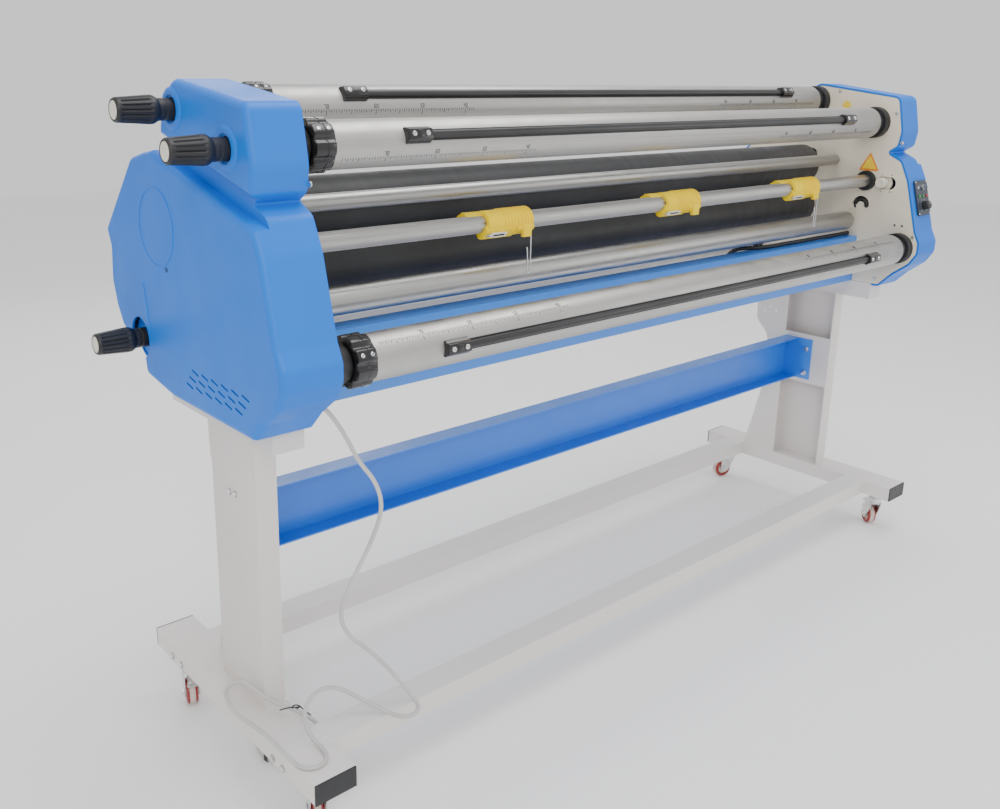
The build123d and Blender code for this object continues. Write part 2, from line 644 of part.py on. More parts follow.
def film_grip(name):
    """The rubber grip strip, its two end brackets and the scalloped locking collar."""
    y, z, angle = SHAFTS[name]
    x0, x1 = STRIP_ENDS
    turn = Pos(0, y, z) * Rot(-angle, 0, 0)
    core = rod_x(-900, 900, y, z, SHAFT_R)

    def on_shaft(xa, xb, width, height):
        bar = block(xa, xb, -SHAFT_R - height, -SHAFT_R + 6, -width / 2, width / 2)
        return turn * bar - core
    pieces = [on_shaft(x0 + BRACKET_LEN, x1 - BRACKET_LEN, STRIP_W, STRIP_H)]
    pieces.append(on_shaft(x0, x0 + BRACKET_LEN, BRACKET_W, BRACKET_H))
    pieces.append(on_shaft(x1 - BRACKET_LEN, x1, BRACKET_W, BRACKET_H))
    collar = Circle(COLLAR_R)
    for k in range(8):
        collar -= Rot(0, 0, 45 * k) * Pos(COLLAR_R + 7, 0) * Circle(12)
    collar = extrude(Plane.YZ.offset(SHAFT_NEAR - COLLAR_LEN) * Pos(y, z) * collar, amount=COLLAR_LEN)
    pieces.append(collar - rod_x(-900, 0, y, z, SHAFT_JOURNAL_R))
    return pieces


def shaft_bearings():
    """Bearing housings through the plates; a knobbed shaft's near one is also its brake cup."""
    housings = []
    for name, (y, z, _) in SHAFTS.items():
        neck_x = -PLATE_IN - PLATE_T
        near = cone_x(-PLATE_IN, SHAFT_NEAR - COLLAR_LEN - 2, y, z, FLANGE_R, 30)
        near += rod_x(neck_x, -PLATE_IN, y, z, BEARING_NECK_R)
        if name in KNOBBED:
            near += rod_x(BRAKE_X, neck_x, y, z, BRAKE_R)
            near -= rod_x(-907, 0, y, z, SHAFT_JOURNAL_R + RUNNING)
            near -= rod_x(BRAKE_X - 1, -900, y, z, 6 + RUNNING)
        else:
            near += rod_x(neck_x - 14, neck_x, y, z, 22)
            near -= rod_x(neck_x - 15, 0, y, z, SHAFT_JOURNAL_R + RUNNING)
        far = rod_x(PLATE_IN - 20, PLATE_IN, y, z, FLANGE_R) + rod_x(FAR_NECK, PLATE_IN - 20, y, z, 31)
        far += rod_x(PLATE_IN, PLATE_IN + PLATE_T, y, z, BEARING_NECK_R)
        far -= rod_x(FAR_NECK - 1, PLATE_IN + PLATE_T + 1, y, z, SHAFT_JOURNAL_R + RUNNING)
        housings += [near, far]
    return housings


def brake_knob(name):
    """A tapered knob on a waisted neck; its spindle screws down on the shaft's brake."""
    y, z, _ = SHAFTS[name]
    tip = -KNOB_TIP_X
    neck = -POD_OUT - NECK_LEN
    knob = cone_x(tip, neck - 6, y, z, KNOB_R - 3, KNOB_R)
    knob += cone_x(neck - 6, neck, y, z, KNOB_R, NECK_R + 1)
    for k in range(16):
        angle = 22.5 * k
        groove_y, groove_z = polar(y, z, KNOB_R + 1.2, angle)
        knob -= rod_x(tip + 9, neck - 8, groove_y, groove_z, 2.2)
    knob = chamfer(knob.faces().sort_by(Axis.X)[0].outer_wire().edges(), 4)
    knob += rod_x(neck, -POD_OUT + 4, y, z, NECK_R)
    knob += rod_x(BRAKE_X + 18, -POD_OUT + 4, y, z, 6)
    return knob


for name in SHAFTS:
    keep(f"{name}_shaft", film_shaft(name))
    keep(f"{name}_grip", *film_grip(name))
for name in KNOBBED:
    keep(f"{name}_brake_knob", brake_knob(name))

# ---------------------------------------------------------------- idlers and cutter
def idler(name):
    """A free-running aluminium tube with stepped ends and steel pins."""
    y, z, r = IDLERS[name]
    x = PLATE_IN - 3
    tube = rod_x(-x + 14, x - 14, y, z, r) - rod_x(-x, x, y, z, r - 3)
    pins = PLATE_IN + PLATE_T + 4
    plugs = rod_x(-x, -x + 34, y, z, r - 3) + rod_x(x - 34, x, y, z, r - 3)
    return tube + plugs + rod_x(-pins, pins, y, z, IDLER_PIN_R)


def idler_holders():
    """Plastic discs in the round ends of the slots, which the lower idler turns in."""
    y, z, _ = IDLERS["lower_idler"]
    holders = []
    for side in (-1, 1):
        holder = rod_x(PLATE_IN, PLATE_IN + PLATE_T, y, z, HOLDER_R)
        holder += rod_x(PLATE_IN + PLATE_T, PLATE_IN + PLATE_T + 2.5, y, z, HOLDER_R + 4)
        holder -= rod_x(PLATE_IN - 1, PLATE_IN + PLATE_T + 4, y, z, IDLER_PIN_R + RUNNING)
        holders.append(mirrored(side, holder))
    return holders


PEG_R = 13.4


def cutter_rod():
    """The slotted rod that carries the slitters, with its end flanges and index pegs."""
    rod = rod_x(-PLATE_IN, PLATE_IN, ROD_Y, ROD_Z, ROD_R)
    slot_y, slot_z = polar(ROD_Y, ROD_Z, ROD_R, -14)
    rod -= block(-PLATE_IN, PLATE_IN, slot_y - 2, slot_y + 3, slot_z - 1.2, slot_z + 1.2)
    solids = []
    for side in (-1, 1):
        collar = rod_x(PLATE_IN - 9, PLATE_IN, ROD_Y, ROD_Z, 25.4) - rod_x(800, 900, ROD_Y, ROD_Z, ROD_R)
        solids.append(mirrored(side, collar))
        peg_y, peg_z, half, r = PEG_SLOT
        peg_y += half - PEG_R / 2
        peg = rod_x(PLATE_IN - 14, PLATE_IN + PLATE_T + 6, peg_y, peg_z, PEG_R)
        peg += rod_x(PLATE_IN + PLATE_T, PLATE_IN + PLATE_T + 6, peg_y, peg_z, PEG_R + 8)
        solids.append(mirrored(side, peg))
    return [rod] + solids


HAIRPIN_R = 1.4
HAIRPIN_LEN = 72.0
HAIRPIN_W = 8.0
EYE_DROP = 22.0


def slitter(x):
    """A ribbed clip round the rod, with a blade horn to one side and a tail below."""
    half = SLITTER_LEN / 2
    body = rod_x(x - half, x + half, ROD_Y, ROD_Z, SLITTER_R)
    for k in range(9):
        rib = x - half + 40 + 8 * k
        body += rod_x(rib - 1.5, rib + 1.5, ROD_Y, ROD_Z, SLITTER_R + 1.4)
    horn = outline([(-8, 14, 3), (10, 22, 6), (24, 14, 5), (26, 6, 2), (20, 4, 2), (8, 14, 4)])
    body += slab_yz(Pos(ROD_Y, ROD_Z) * horn, x - half - 34, x + half)
    nose = outline([(-24, -8, 6), (-6, -27, 8), (6, -24, 4), (4, -12, 2), (-14, 0, 2)])
    body += slab_yz(Pos(ROD_Y, ROD_Z) * nose, x - half - 4, x + 14)
    body += block(x + 26, x + 46, ROD_Y - 26, ROD_Y - 17, ROD_Z - EYE_DROP - 5, ROD_Z - 4)
    body -= rod_x(x - 2 * half, x + 2 * half, ROD_Y, ROD_Z, ROD_R + RUNNING)
    eye_y, eye_z = ROD_Y - 21.5, ROD_Z - EYE_DROP
    body -= rod_x(x + 20, x + 50, eye_y, eye_z, HAIRPIN_R + RUNNING)
    return body


def hairpin(x):
    """A bent wire pin that hangs from the eye in a slitter's tail."""
    y, z = ROD_Y - 21.5, ROD_Z - EYE_DROP
    xa, xb = x + 32, x + 48
    drop = HAIRPIN_LEN
    path = FilletPolyline((xa - 8, y, z), (xb, y, z), (xb, y, z - drop), (xb - HAIRPIN_W, y, z - drop),
                          (xb - HAIRPIN_W, y, z - 24), radius=[2.2, 3.4, 3.4])
    start = Plane(origin=(xa - 8, y, z), z_dir=(1, 0, 0))
    return sweep(start * Circle(HAIRPIN_R), path=path)


for number, x in enumerate(SLITTERS, start=1):
    keep(f"slitter_{number}", slitter(x))
for number in (1, 3):
    keep(f"hairpin_{number}", hairpin(SLITTERS[number - 1]))
for name in IDLERS:
    keep(name, idler(name))
keep("shaft_bearings", *shaft_bearings(), *idler_holders())
keep("cutter_rod", *cutter_rod())

# ---------------------------------------------------------------- controls
PANEL_TOP = (-222.0, 942.0)
PANEL_LOW = (-255.0, 818.0)
PANEL_SIZE = (62.0, 88.0, 5.0)
PANEL_X = 915.0
PANEL_UP = 19.0
TOGGLE_AT, DIAL_AT = 26.0, -20.0


def panel_plane():
    """The cover's sloping front, with its local Y up the slope."""
    (y1, z1), (y0, z0) = PANEL_TOP, PANEL_LOW
    run = hypot(y1 - y0, z1 - z0)
    out = (0, -(z1 - z0) / run, (y1 - y0) / run)
    skin = COVER_WALL + COVER_GAP
    middle_y = (y0 + y1) / 2 + PANEL_UP * (y1 - y0) / run + out[1] * skin
    middle_z = (z0 + z1) / 2 + PANEL_UP * (z1 - z0) / run + out[2] * skin
    origin = (PANEL_X, middle_y, middle_z)
    return Plane(origin=origin, x_dir=(1, 0, 0), z_dir=out)


def control_panel():
    """A moulded panel with a rim, a toggle bush, a dial boss and indicator lenses."""
    w, h, t = PANEL_SIZE
    plate = Pos(0, 0, t / 2) * Box(w, h, t)
    plate = fillet(plate.edges().filter_by(Axis.Z), 6)
    plate += Pos(0, TOGGLE_AT, t) * Cylinder(8, 6)
    plate += Pos(0, DIAL_AT, t) * Cylinder(13, 2)
    for dx in (-18, 0, 18):
        plate += Pos(dx, 4, t) * Cylinder(3, 3)
    plate -= Pos(0, TOGGLE_AT, t + 1) * Cylinder(4.2, 12)
    plate -= Pos(0, DIAL_AT, t) * Cylinder(3 + RUNNING, 8)
    return panel_plane() * plate


def speed_knob():
    t = PANEL_SIZE[2]
    knob = Pos(0, DIAL_AT, t + 9) * Cylinder(11, 14)
    for k in range(12):
        knob -= Pos(0, DIAL_AT, t + 9) * Rot(0, 0, 30 * k) * Pos(11.6, 0, 0) * Cylinder(1.3, 20)
    knob += Pos(0, DIAL_AT, t - 0.5) * Cylinder(3, 6)
    return panel_plane() * knob


def direction_switch():
    t = PANEL_SIZE[2]
    lever = Pos(0, TOGGLE_AT, t + 8) * Cone(1.9, 2.9, 18)
    ball = Pos(0, TOGGLE_AT, t) * Sphere(3.4)
    return panel_plane() * (lever + ball)


keep("control_panel", control_panel())
keep("speed_knob", speed_knob())
keep("direction_switch", direction_switch())


# ---------------------------------------------------------------- cords
def bend_radii(points):
    """Each corner's largest tangent arc: 0.45 of its shorter run over tan(half the turn)."""
    radii = []
    for a, b, c in zip(points, points[1:], points[2:]):
        run_in = Vector(*b) - Vector(*a)
        run_out = Vector(*c) - Vector(*b)
        turn = radians(run_in.get_angle(run_out))
        radii.append(0.45 * min(run_in.length, run_out.length) / tan(turn / 2))
    return radii


def cord_solid(points, diameter, label):
    radii = bend_radii(points)
    path = FilletPolyline(*points, radius=radii)
    start = Plane(origin=points[0], z_dir=tuple(Vector(*points[1]) - Vector(*points[0])))
    tube = sweep(start * Circle(diameter / 2), path=path)
    expected = pi * diameter ** 2 / 4 * path.length
    print(label, "length", round(path.length), "volume ratio", round(tube.volume / expected, 4))
    print(label, "radii", [round(r) for r in radii])
    print(label, "runs", [round((Vector(*b) - Vector(*a)).length) for a, b in zip(points, points[1:])])
    return tube


GRIP_AT = (-PLATE_IN, -172.0, 720.0)
GRIP_DIP = 40.0
GRIP_LEN = 42.0
COIL = (-835.0, -20.0)
COIL_MEAN_R = 42.0
COIL_LAYERS, COIL_ROWS = 3, 2


def down_grip(distance):
    """A point on the gland's axis, which dips away from the plate."""
    x, y, z = GRIP_AT
    return (x + distance * cos(radians(GRIP_DIP)), y, z - distance * sin(radians(GRIP_DIP)))


def cord_grip():
    """The gland on the near plate's inner face and its tapered, ribbed boot."""
    tilt = Rot(0, 90 + GRIP_DIP, 0)
    boot = Pos(*down_grip(27)) * tilt * Cone(8.5, 5.6, 30)
    nut = Pos(*down_grip(4)) * tilt * Cylinder(12, 24)
    boot += nut - block(-PLATE_IN - 40, -PLATE_IN, -400, 400, 400, 900)
    boot -= Pos(*down_grip(25)) * tilt * Cylinder(CORD_D / 2, 80)
    return boot


CORD_ROUTE = [
    # out of the gland, down beside the leg and on to the front stretcher
    down_grip(14), down_grip(GRIP_LEN + 2), (-800, -178, 645), (-782, -187, 598), (-752, -196, 556),
    (-743, -200, 508), (-769, -201, 456), (-803, -199, 404), (-831, -196, 352), (-812, -195, 302),
    (-774, -196, 264), (-738, -202, 218), (-708, -203, 174), (-693, -211, 147),
    # a loop over the stretcher's front edge
    (-694, -235, 139.9), (-714, -248, 139.7), (-736, -240, 139.7), (-748, -216, 141), (-765, -195, 153),
    # a hump that comes down on the foot, and a loop round the foot's top
    (-790, -185, 173), (-819, -178, 199), (-848, -175, 211), (-874, -176, 206), (-892, -181, 186),
    (-894, -193, 162), (-888, -208, 144), (-884, -229, 140), (-891, -248, 139.8), (-909, -257, 139.7),
    (-928, -250, 139.7), (-937, -231, 139.7), (-939, -198, 139.7), (-938, -160, 139.7), (-940, -118, 139.8),
    # round the leg's front corner
    (-947, -87, 141), (-953, -61, 146), (-955, -38, 155), (-951, -22, 163), (-937, -15, 170),
    (-921, -22, 175), (-914, -43, 175), (-911, -70, 171), (-900, -93, 163), (-882, -112, 153),
    (-861, -130, 142), (-843, -148, 123),
    # down behind the stretcher to the floor
    (-834, -151, 96), (-831, -146, 66), (-826, -132, 36), (-813, -110, 13), (-799, -84, 4.2), (-793, -52, 3.8),
]


def cord_coil():
    """The put-away length as one ring, as wide and high as its turns."""
    half = COIL_LAYERS * CORD_D / 2 + 0.6
    height = COIL_ROWS * CORD_D
    ring = Cylinder(COIL_MEAN_R + half, height) - Cylinder(COIL_MEAN_R - half, height)
    return Pos(*COIL, height / 2) * ring


PLUG_X = COIL[0] + COIL_MEAN_R
PLUG_Y = COIL[1] + 31.5


def cord_plug():
    """A moulded mains plug that lies beside the coil, with two round pins."""
    boot = Pos(PLUG_X, PLUG_Y + 14, 9) * Rot(-90, 0, 0) * Cone(5.2, 8, 28)
    body = block(PLUG_X - 17, PLUG_X + 17, PLUG_Y + 28, PLUG_Y + 64, 0.2, 19)
    body = fillet(body.edges().filter_by(Axis.Y), 6)
    pins = rod_y(PLUG_X - 9.5, PLUG_Y + 64, PLUG_Y + 83, 9.6, 2.4)
    pins += rod_y(PLUG_X + 9.5, PLUG_Y + 64, PLUG_Y + 83, 9.6, 2.4)
    return boot + body + pins


LOOM_D = 10.0
LOOM_Z = BEAM_Z[1] + LOOM_D / 2 + 0.5
LOOM_LOW = 742.0
LOOM_Y = -84.0
LOOM_IN = -50.0


def loom_route():
    """From the far plate along the beam's top, over its rear edge and back inside it."""
    points = [(PLATE_IN - 0.4, LOOM_Y, LOOM_Z)]
    for k in range(1, 6):
        points.append((PLATE_IN - 75 * k, LOOM_Y - 2 * (k % 2), LOOM_Z))
    points += [(440, LOOM_Y + 6, LOOM_Z + 1), (405, LOOM_IN - 1, LOOM_Z - 1), (372, LOOM_IN + 4, LOOM_Z - 22),
               (335, LOOM_IN - 1, LOOM_LOW + 14), (290, LOOM_IN - 12, LOOM_LOW)]
    x = 225.0
    while x > -PLATE_IN + 120:
        points.append((x, LOOM_IN - 14 - 3 * (len(points) % 2), LOOM_LOW - 2 * (len(points) % 3)))
        x -= 72
    points.append((-PLATE_IN + BEAM_WALL + 0.5, LOOM_IN - 14, LOOM_LOW))
    return points


keep("cord_grip", cord_grip())
keep("cord_tube", cord_solid(CORD_ROUTE, CORD_D, "cord"))
keep("cord_coil", cord_coil())
keep("cord_plug", cord_plug())
keep("wiring_loom", cord_solid(loom_route(), LOOM_D, "loom"))

# ---------------------------------------------------------------- output
HOME = ((KNOB_TIP_X - COVER_OUT) / 2, -(REAR_MOST - FOOT_HALF_LENGTH) / 2, 0)
os.makedirs("parts", exist_ok=True)
for name, solids in PARTS.items():
    export_step(Pos(*HOME) * Compound(children=solids), f"parts/{name}.step")
print(len(PARTS), "nodes; home", [round(value, 2) for value in HOME])
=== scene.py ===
# Looks of the cold roll laminator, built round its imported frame. Metres, +Z up, row frame.
import math

import bmesh
import bpy
from mathutils import Matrix, Vector


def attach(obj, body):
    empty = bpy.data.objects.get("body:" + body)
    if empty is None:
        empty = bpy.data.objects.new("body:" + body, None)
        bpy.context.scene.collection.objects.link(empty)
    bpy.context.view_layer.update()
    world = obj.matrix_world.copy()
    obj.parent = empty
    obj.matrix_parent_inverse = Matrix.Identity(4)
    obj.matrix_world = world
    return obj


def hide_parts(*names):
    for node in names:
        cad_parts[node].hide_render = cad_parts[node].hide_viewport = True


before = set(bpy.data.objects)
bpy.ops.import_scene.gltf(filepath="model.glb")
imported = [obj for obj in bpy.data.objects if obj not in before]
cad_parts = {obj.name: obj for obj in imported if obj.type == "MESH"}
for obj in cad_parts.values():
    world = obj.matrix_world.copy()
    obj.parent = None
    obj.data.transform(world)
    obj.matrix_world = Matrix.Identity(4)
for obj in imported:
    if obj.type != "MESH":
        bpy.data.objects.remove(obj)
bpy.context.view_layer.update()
HOME = Vector((0.0395, -0.0116, 0.0))      # the machine's centre line on the floor
MM = 0.001
X, Y, Z = Vector((1, 0, 0)), Vector((0, 1, 0)), Vector((0, 0, 1))


def at(x, y, z):
    """A point given in millimetres from the machine's centre line, in the row frame."""
    return HOME + Vector((x, y, z)) * MM


# ---- camera, light and floor
CAMERA_AT = (-1597.05, -1369.53, 1176.30)
RIGHT = (0.771935, -0.635657, 0.007559)
DOWN = (-0.161886, -0.208064, -0.964625)
FORWARD = (0.614744, 0.743404, -0.263516)
LENS, SHIFT_X, SHIFT_Y = 35.04, 0.0616, -0.0580


def add_camera():
    data = bpy.data.cameras.new("camera")
    data.lens = LENS
    data.sensor_width = 36.0
    data.shift_x = SHIFT_X
    data.shift_y = SHIFT_Y
    data.clip_end = 100.0
    camera = bpy.data.objects.new("camera", data)
    bpy.context.scene.collection.objects.link(camera)
    columns = [Vector(RIGHT), -Vector(DOWN), -Vector(FORWARD)]
    turn = Matrix(columns).transposed().to_4x4()
    camera.matrix_world = Matrix.Translation(at(*CAMERA_AT)) @ turn
    bpy.context.scene.camera = camera


WORLD_STRENGTH = 0.95
LAMPS = {                                   # place, aim, width and height in metres, power in watts
    "overhead": ((0.2, -0.4, 3.6), (0, 0, 0.8), (3.6, 1.6), 75),
    "key": ((-2.8, -3.2, 2.9), (0, 0, 0.8), (1.8, 1.8), 60),
    "fill": ((2.8, -2.6, 1.6), (0, 0, 0.8), (1.6, 1.6), 14),
    "back": ((0.5, 3.4, 2.4), (0, 0, 0.9), (3.0, 1.2), 24),
}


def area_light(name, place, target, size, power):
    data = bpy.data.lights.new(name, "AREA")
    data.shape = "RECTANGLE"
    data.size, data.size_y = size
    data.energy = power
    lamp = bpy.data.objects.new(name, data)
    bpy.context.scene.collection.objects.link(lamp)
    aim = (Vector(target) - Vector(place)).to_track_quat("-Z", "Y")
    lamp.matrix_world = Matrix.Translation(place) @ aim.to_matrix().to_4x4()


def add_light():
    world = bpy.data.worlds.new("studio")
    world.use_nodes = True
    background = world.node_tree.nodes["Background"]
    background.inputs["Color"].default_value = (1.0, 1.0, 1.0, 1)
    background.inputs["Strength"].default_value = WORLD_STRENGTH
    bpy.context.scene.world = world
    for name, lamp in LAMPS.items():
        area_light(name, *lamp)


# ---- materials
GLOSS_SPREAD = 0.06                         # how far roughness strays from its middle value
COAT_ROUGHNESS = 0.12
EDGE_HIGHLIGHT = 0.6                                  # how much of the painted highlight colour a sharp convex edge takes
HIGHLIGHT_FROM = (0.52, 0.60)                    # the pointiness where the painted highlight starts and where it is full


def new_material(name):
    mat = bpy.data.materials.new(name)
    mat.use_nodes = True
    tree = mat.node_tree
    return mat, tree, tree.nodes["Principled BSDF"]


def coordinates(tree, stretch):
    source = tree.nodes.new("ShaderNodeTexCoord")
    mapping = tree.nodes.new("ShaderNodeMapping")
    mapping.inputs["Scale"].default_value = stretch
    tree.links.new(source.outputs["Object"], mapping.inputs["Vector"])
    return mapping.outputs["Vector"]


def noise(tree, scale, detail, stretch=(1, 1, 1)):
    node = tree.nodes.new("ShaderNodeTexNoise")
    node.inputs["Scale"].default_value = scale
    node.inputs["Detail"].default_value = detail
    tree.links.new(coordinates(tree, stretch), node.inputs["Vector"])
    return node.outputs["Fac"]


def remap(tree, value, low, high, start=0.3, stop=0.7):
    node = tree.nodes.new("ShaderNodeMapRange")
    node.inputs["From Min"].default_value = start
    node.inputs["From Max"].default_value = stop
    node.inputs["To Min"].default_value = low
    node.inputs["To Max"].default_value = high
    tree.links.new(value, node.inputs["Value"])
    return node.outputs["Result"]


def blend_colours(tree, factor, first, second):
    node = tree.nodes.new("ShaderNodeMix")
    node.data_type = "RGBA"
    for socket, colour in ((6, first), (7, second)):
        if isinstance(colour, tuple):
            node.inputs[socket].default_value = (*colour, 1)
        else:
            tree.links.new(colour, node.inputs[socket])
    tree.links.new(factor, node.inputs[0])
    return node.outputs[2]


def bump(tree, shader, height, strength, distance):
    node = tree.nodes.new("ShaderNodeBump")
    node.inputs["Strength"].default_value = strength
    node.inputs["Distance"].default_value = distance
    tree.links.new(height, node.inputs["Height"])
    previous = shader.inputs["Normal"]
    if previous.is_linked:
        tree.links.new(previous.links[0].from_socket, node.inputs["Normal"])
    tree.links.new(node.outputs["Normal"], shader.inputs["Normal"])


def painted_edge_highlight(tree, colour, highlight_colour):
    """The colour, a little lighter where the surface has a sharp convex edge: a painted highlight."""
    geometry = tree.nodes.new("ShaderNodeNewGeometry")
    mask = remap(tree, geometry.outputs["Pointiness"], 0.0, EDGE_HIGHLIGHT, *HIGHLIGHT_FROM)
    return blend_colours(tree, mask, colour, highlight_colour)


def surface(name, dark, light, rough, metallic=0.0, tone=3.0, grain=900.0, relief=0.12,
            depth=0.0002, stretch=(1, 1, 1), coat=0.0, highlight_colour=None, specular=0.5):
    """A general finish: uneven tone, uneven gloss and a fine grain in the normal."""
    mat, tree, shader = new_material(name)
    colour = blend_colours(tree, remap(tree, noise(tree, tone, 5), 0, 1), dark, light)
    # sharp convex edges take a lighter tint of the paint: a painted highlight
    if highlight_colour:
        colour = painted_edge_highlight(tree, colour, highlight_colour)
    tree.links.new(colour, shader.inputs["Base Color"])
    gloss = remap(tree, noise(tree, grain / 30, 4, stretch), rough - GLOSS_SPREAD, rough + GLOSS_SPREAD)
    tree.links.new(gloss, shader.inputs["Roughness"])
    shader.inputs["Metallic"].default_value = metallic
    shader.inputs["Specular IOR Level"].default_value = specular
    if coat:
        shader.inputs["Coat Weight"].default_value = coat
        shader.inputs["Coat Roughness"].default_value = COAT_ROUGHNESS
    bump(tree, shader, noise(tree, grain, 2, stretch), relief, depth)
    return mat


def brushed(name, dark, light, rough):
    """Metal with fine lines along X, as on drawn and anodised tube."""
    mat, tree, shader = new_material(name)
    lines = noise(tree, 60, 4, (0.02, 14, 14))
    colour = blend_colours(tree, remap(tree, lines, 0, 1), dark, light)
    tree.links.new(colour, shader.inputs["Base Color"])
    gloss = remap(tree, noise(tree, 25, 4), rough - 0.06, rough + 0.08)
    tree.links.new(gloss, shader.inputs["Roughness"])
    shader.inputs["Metallic"].default_value = 1.0
    bump(tree, shader, lines, 0.10, 0.0001)
    bump(tree, shader, noise(tree, 1400, 2), 0.05, 0.0001)
    return mat


FINISHES = {                                # darker and lighter tone, roughness, and what differs from plain
    # The edge colours in the cream, plate and blue paint rows are painted highlights on sharp convex edges.
    "cream_paint": ((0.66, 0.615, 0.585), (0.74, 0.69, 0.66), 0.42,
        dict(tone=2.0, grain=700, relief=0.22, depth=0.0003, highlight_colour=(0.80, 0.77, 0.74), coat=0.1)),
    "plate_cream": ((0.66, 0.585, 0.43), (0.73, 0.655, 0.50), 0.42,
        dict(tone=2.0, grain=700, relief=0.22, depth=0.0003, highlight_colour=(0.80, 0.74, 0.62), coat=0.1)),
    "blue_cover": ((0.001, 0.150, 0.66), (0.002, 0.185, 0.76), 0.44,
        dict(tone=1.6, grain=420, relief=0.25, depth=0.0004, specular=0.28)),
    "blue_paint": ((0.014, 0.155, 0.66), (0.022, 0.195, 0.76), 0.38,
        dict(tone=2.0, grain=700, relief=0.2, depth=0.0003, coat=0.15, highlight_colour=(0.06, 0.28, 0.82))),
    "roller_rubber": ((0.030, 0.031, 0.034), (0.046, 0.047, 0.050), 0.52,
        dict(tone=6.0, grain=1500, relief=0.25, depth=0.0002, stretch=(1.0, 0.3, 0.3))),
    "steel": ((0.42, 0.42, 0.43), (0.58, 0.58, 0.60), 0.32,
        dict(metallic=1.0, tone=40.0, grain=1200, relief=0.2)),
    "zinc_steel": ((0.55, 0.56, 0.57), (0.78, 0.78, 0.77), 0.24,
        dict(metallic=1.0, tone=90.0, grain=600, relief=0.12)),
    "wheel_red": ((0.22, 0.012, 0.012), (0.34, 0.022, 0.02), 0.38, dict(tone=30.0, coat=0.2)),
    "wheel_band": ((0.50, 0.40, 0.36), (0.66, 0.56, 0.50), 0.5, dict(tone=60.0)),
    "black_plastic": ((0.010, 0.010, 0.011), (0.020, 0.020, 0.022), 0.46,
        dict(tone=20.0, grain=1100, relief=0.3, depth=0.0002)),
    "black_gloss": ((0.006, 0.006, 0.007), (0.012, 0.012, 0.014), 0.2,
        dict(tone=20.0, grain=500, relief=0.1, coat=0.35)),
    "black_metal": ((0.012, 0.012, 0.013), (0.028, 0.028, 0.030), 0.36,
        dict(tone=25.0, metallic=0.4, grain=800, relief=0.2)),
    "strip_rubber": ((0.012, 0.012, 0.013), (0.022, 0.022, 0.024), 0.34,
        dict(tone=12.0, grain=900, relief=0.2, stretch=(0.2, 1, 1))),
    "yellow_plastic": ((0.88, 0.60, 0.0), (0.93, 0.68, 0.001), 0.42,
        dict(tone=25.0, grain=700, relief=0.15, specular=0.18)),
    "cream_plastic": ((0.66, 0.62, 0.52), (0.78, 0.74, 0.64), 0.38, dict(tone=40.0)),
    "panel_plastic": ((0.020, 0.028, 0.045), (0.035, 0.045, 0.07), 0.4,
        dict(tone=20.0, grain=1000, relief=0.25)),
    "cord_pvc": ((0.50, 0.49, 0.475), (0.60, 0.59, 0.575), 0.40,
        dict(tone=12.0, grain=900, relief=0.25, depth=0.0002)),
    "wrap_black": ((0.010, 0.010, 0.012), (0.022, 0.022, 0.025), 0.34, dict(tone=30.0)),
    "ink": ((0.008, 0.008, 0.009), (0.02, 0.02, 0.022), 0.7, dict(tone=200.0, specular=0.1)),
    "label_white": ((0.72, 0.72, 0.70), (0.82, 0.82, 0.80), 0.45, dict(tone=60.0)),
    "sign_orange": ((0.82, 0.24, 0.02), (0.90, 0.32, 0.03), 0.42, dict(tone=60.0)),
    "sign_yellow": ((0.85, 0.58, 0.02), (0.92, 0.68, 0.04), 0.42, dict(tone=60.0)),
    "lens_green": ((0.02, 0.20, 0.04), (0.04, 0.32, 0.07), 0.15, dict(tone=80.0, coat=0.5)),
    "lens_red": ((0.35, 0.01, 0.01), (0.5, 0.02, 0.02), 0.15, dict(tone=80.0, coat=0.5)),
    "floor": ((0.93, 0.93, 0.93), (0.95, 0.95, 0.95), 0.6, dict(tone=1.0, grain=200, relief=0.02)),
}
BRUSHED = {
    "satin_aluminium": ((0.44, 0.43, 0.415), (0.54, 0.53, 0.515), 0.46),
    "bright_aluminium": ((0.42, 0.415, 0.405), (0.52, 0.515, 0.505), 0.40),
}
MATERIALS = {name: surface(name, *row[:3], **row[3]) for name, row in FINISHES.items()}
MATERIALS.update({name: brushed(name, *row) for name, row in BRUSHED.items()})


# ---- mesh helpers, in millimetres
WORLD = Matrix.Translation(HOME) @ Matrix.Scale(MM, 4)
ON_AXIS = 1e-4                              # a radius too small for a ring, in millimetres
WELD = 1e-7                                 # points this close are one, in metres


def make_piece(name, bm, material, body, replaces=(), angle=32.0):
    """Turns a bmesh into a piece that rides on a body."""
    bmesh.ops.remove_doubles(bm, verts=bm.verts[:], dist=WELD)
    bmesh.ops.dissolve_degenerate(bm, edges=bm.edges[:], dist=WELD)
    bmesh.ops.recalc_face_normals(bm, faces=bm.faces[:])
    mesh = bpy.data.meshes.new(name)
    bm.to_mesh(mesh)
    bm.free()
    mesh.materials.append(MATERIALS[material])
    mesh.polygons.foreach_set("use_smooth", [True] * len(mesh.polygons))
    mesh.set_sharp_from_angle(angle=math.radians(angle))
    piece = bpy.data.objects.new(name, mesh)
    bpy.context.scene.collection.objects.link(piece)
    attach(piece, body)
    if replaces:
        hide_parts(*replaces)
    return piece


def axes(origin, x, y, z):
    """Millimetre axes at a point, from three unit vectors."""
    turn = Matrix((x, y, z)).transposed().to_4x4()
    return Matrix.Translation(at(*origin)) @ turn @ Matrix.Scale(MM, 4)


def along(origin, direction, up=Z):
    """Millimetre axes at a point, with Z along a direction."""
    z = Vector(direction).normalized()
    x = Vector(up).cross(z)
    if x.length < 1e-6:
        x = Y.cross(z)
    x.normalize()
    return axes(origin, x, z.cross(x), z)


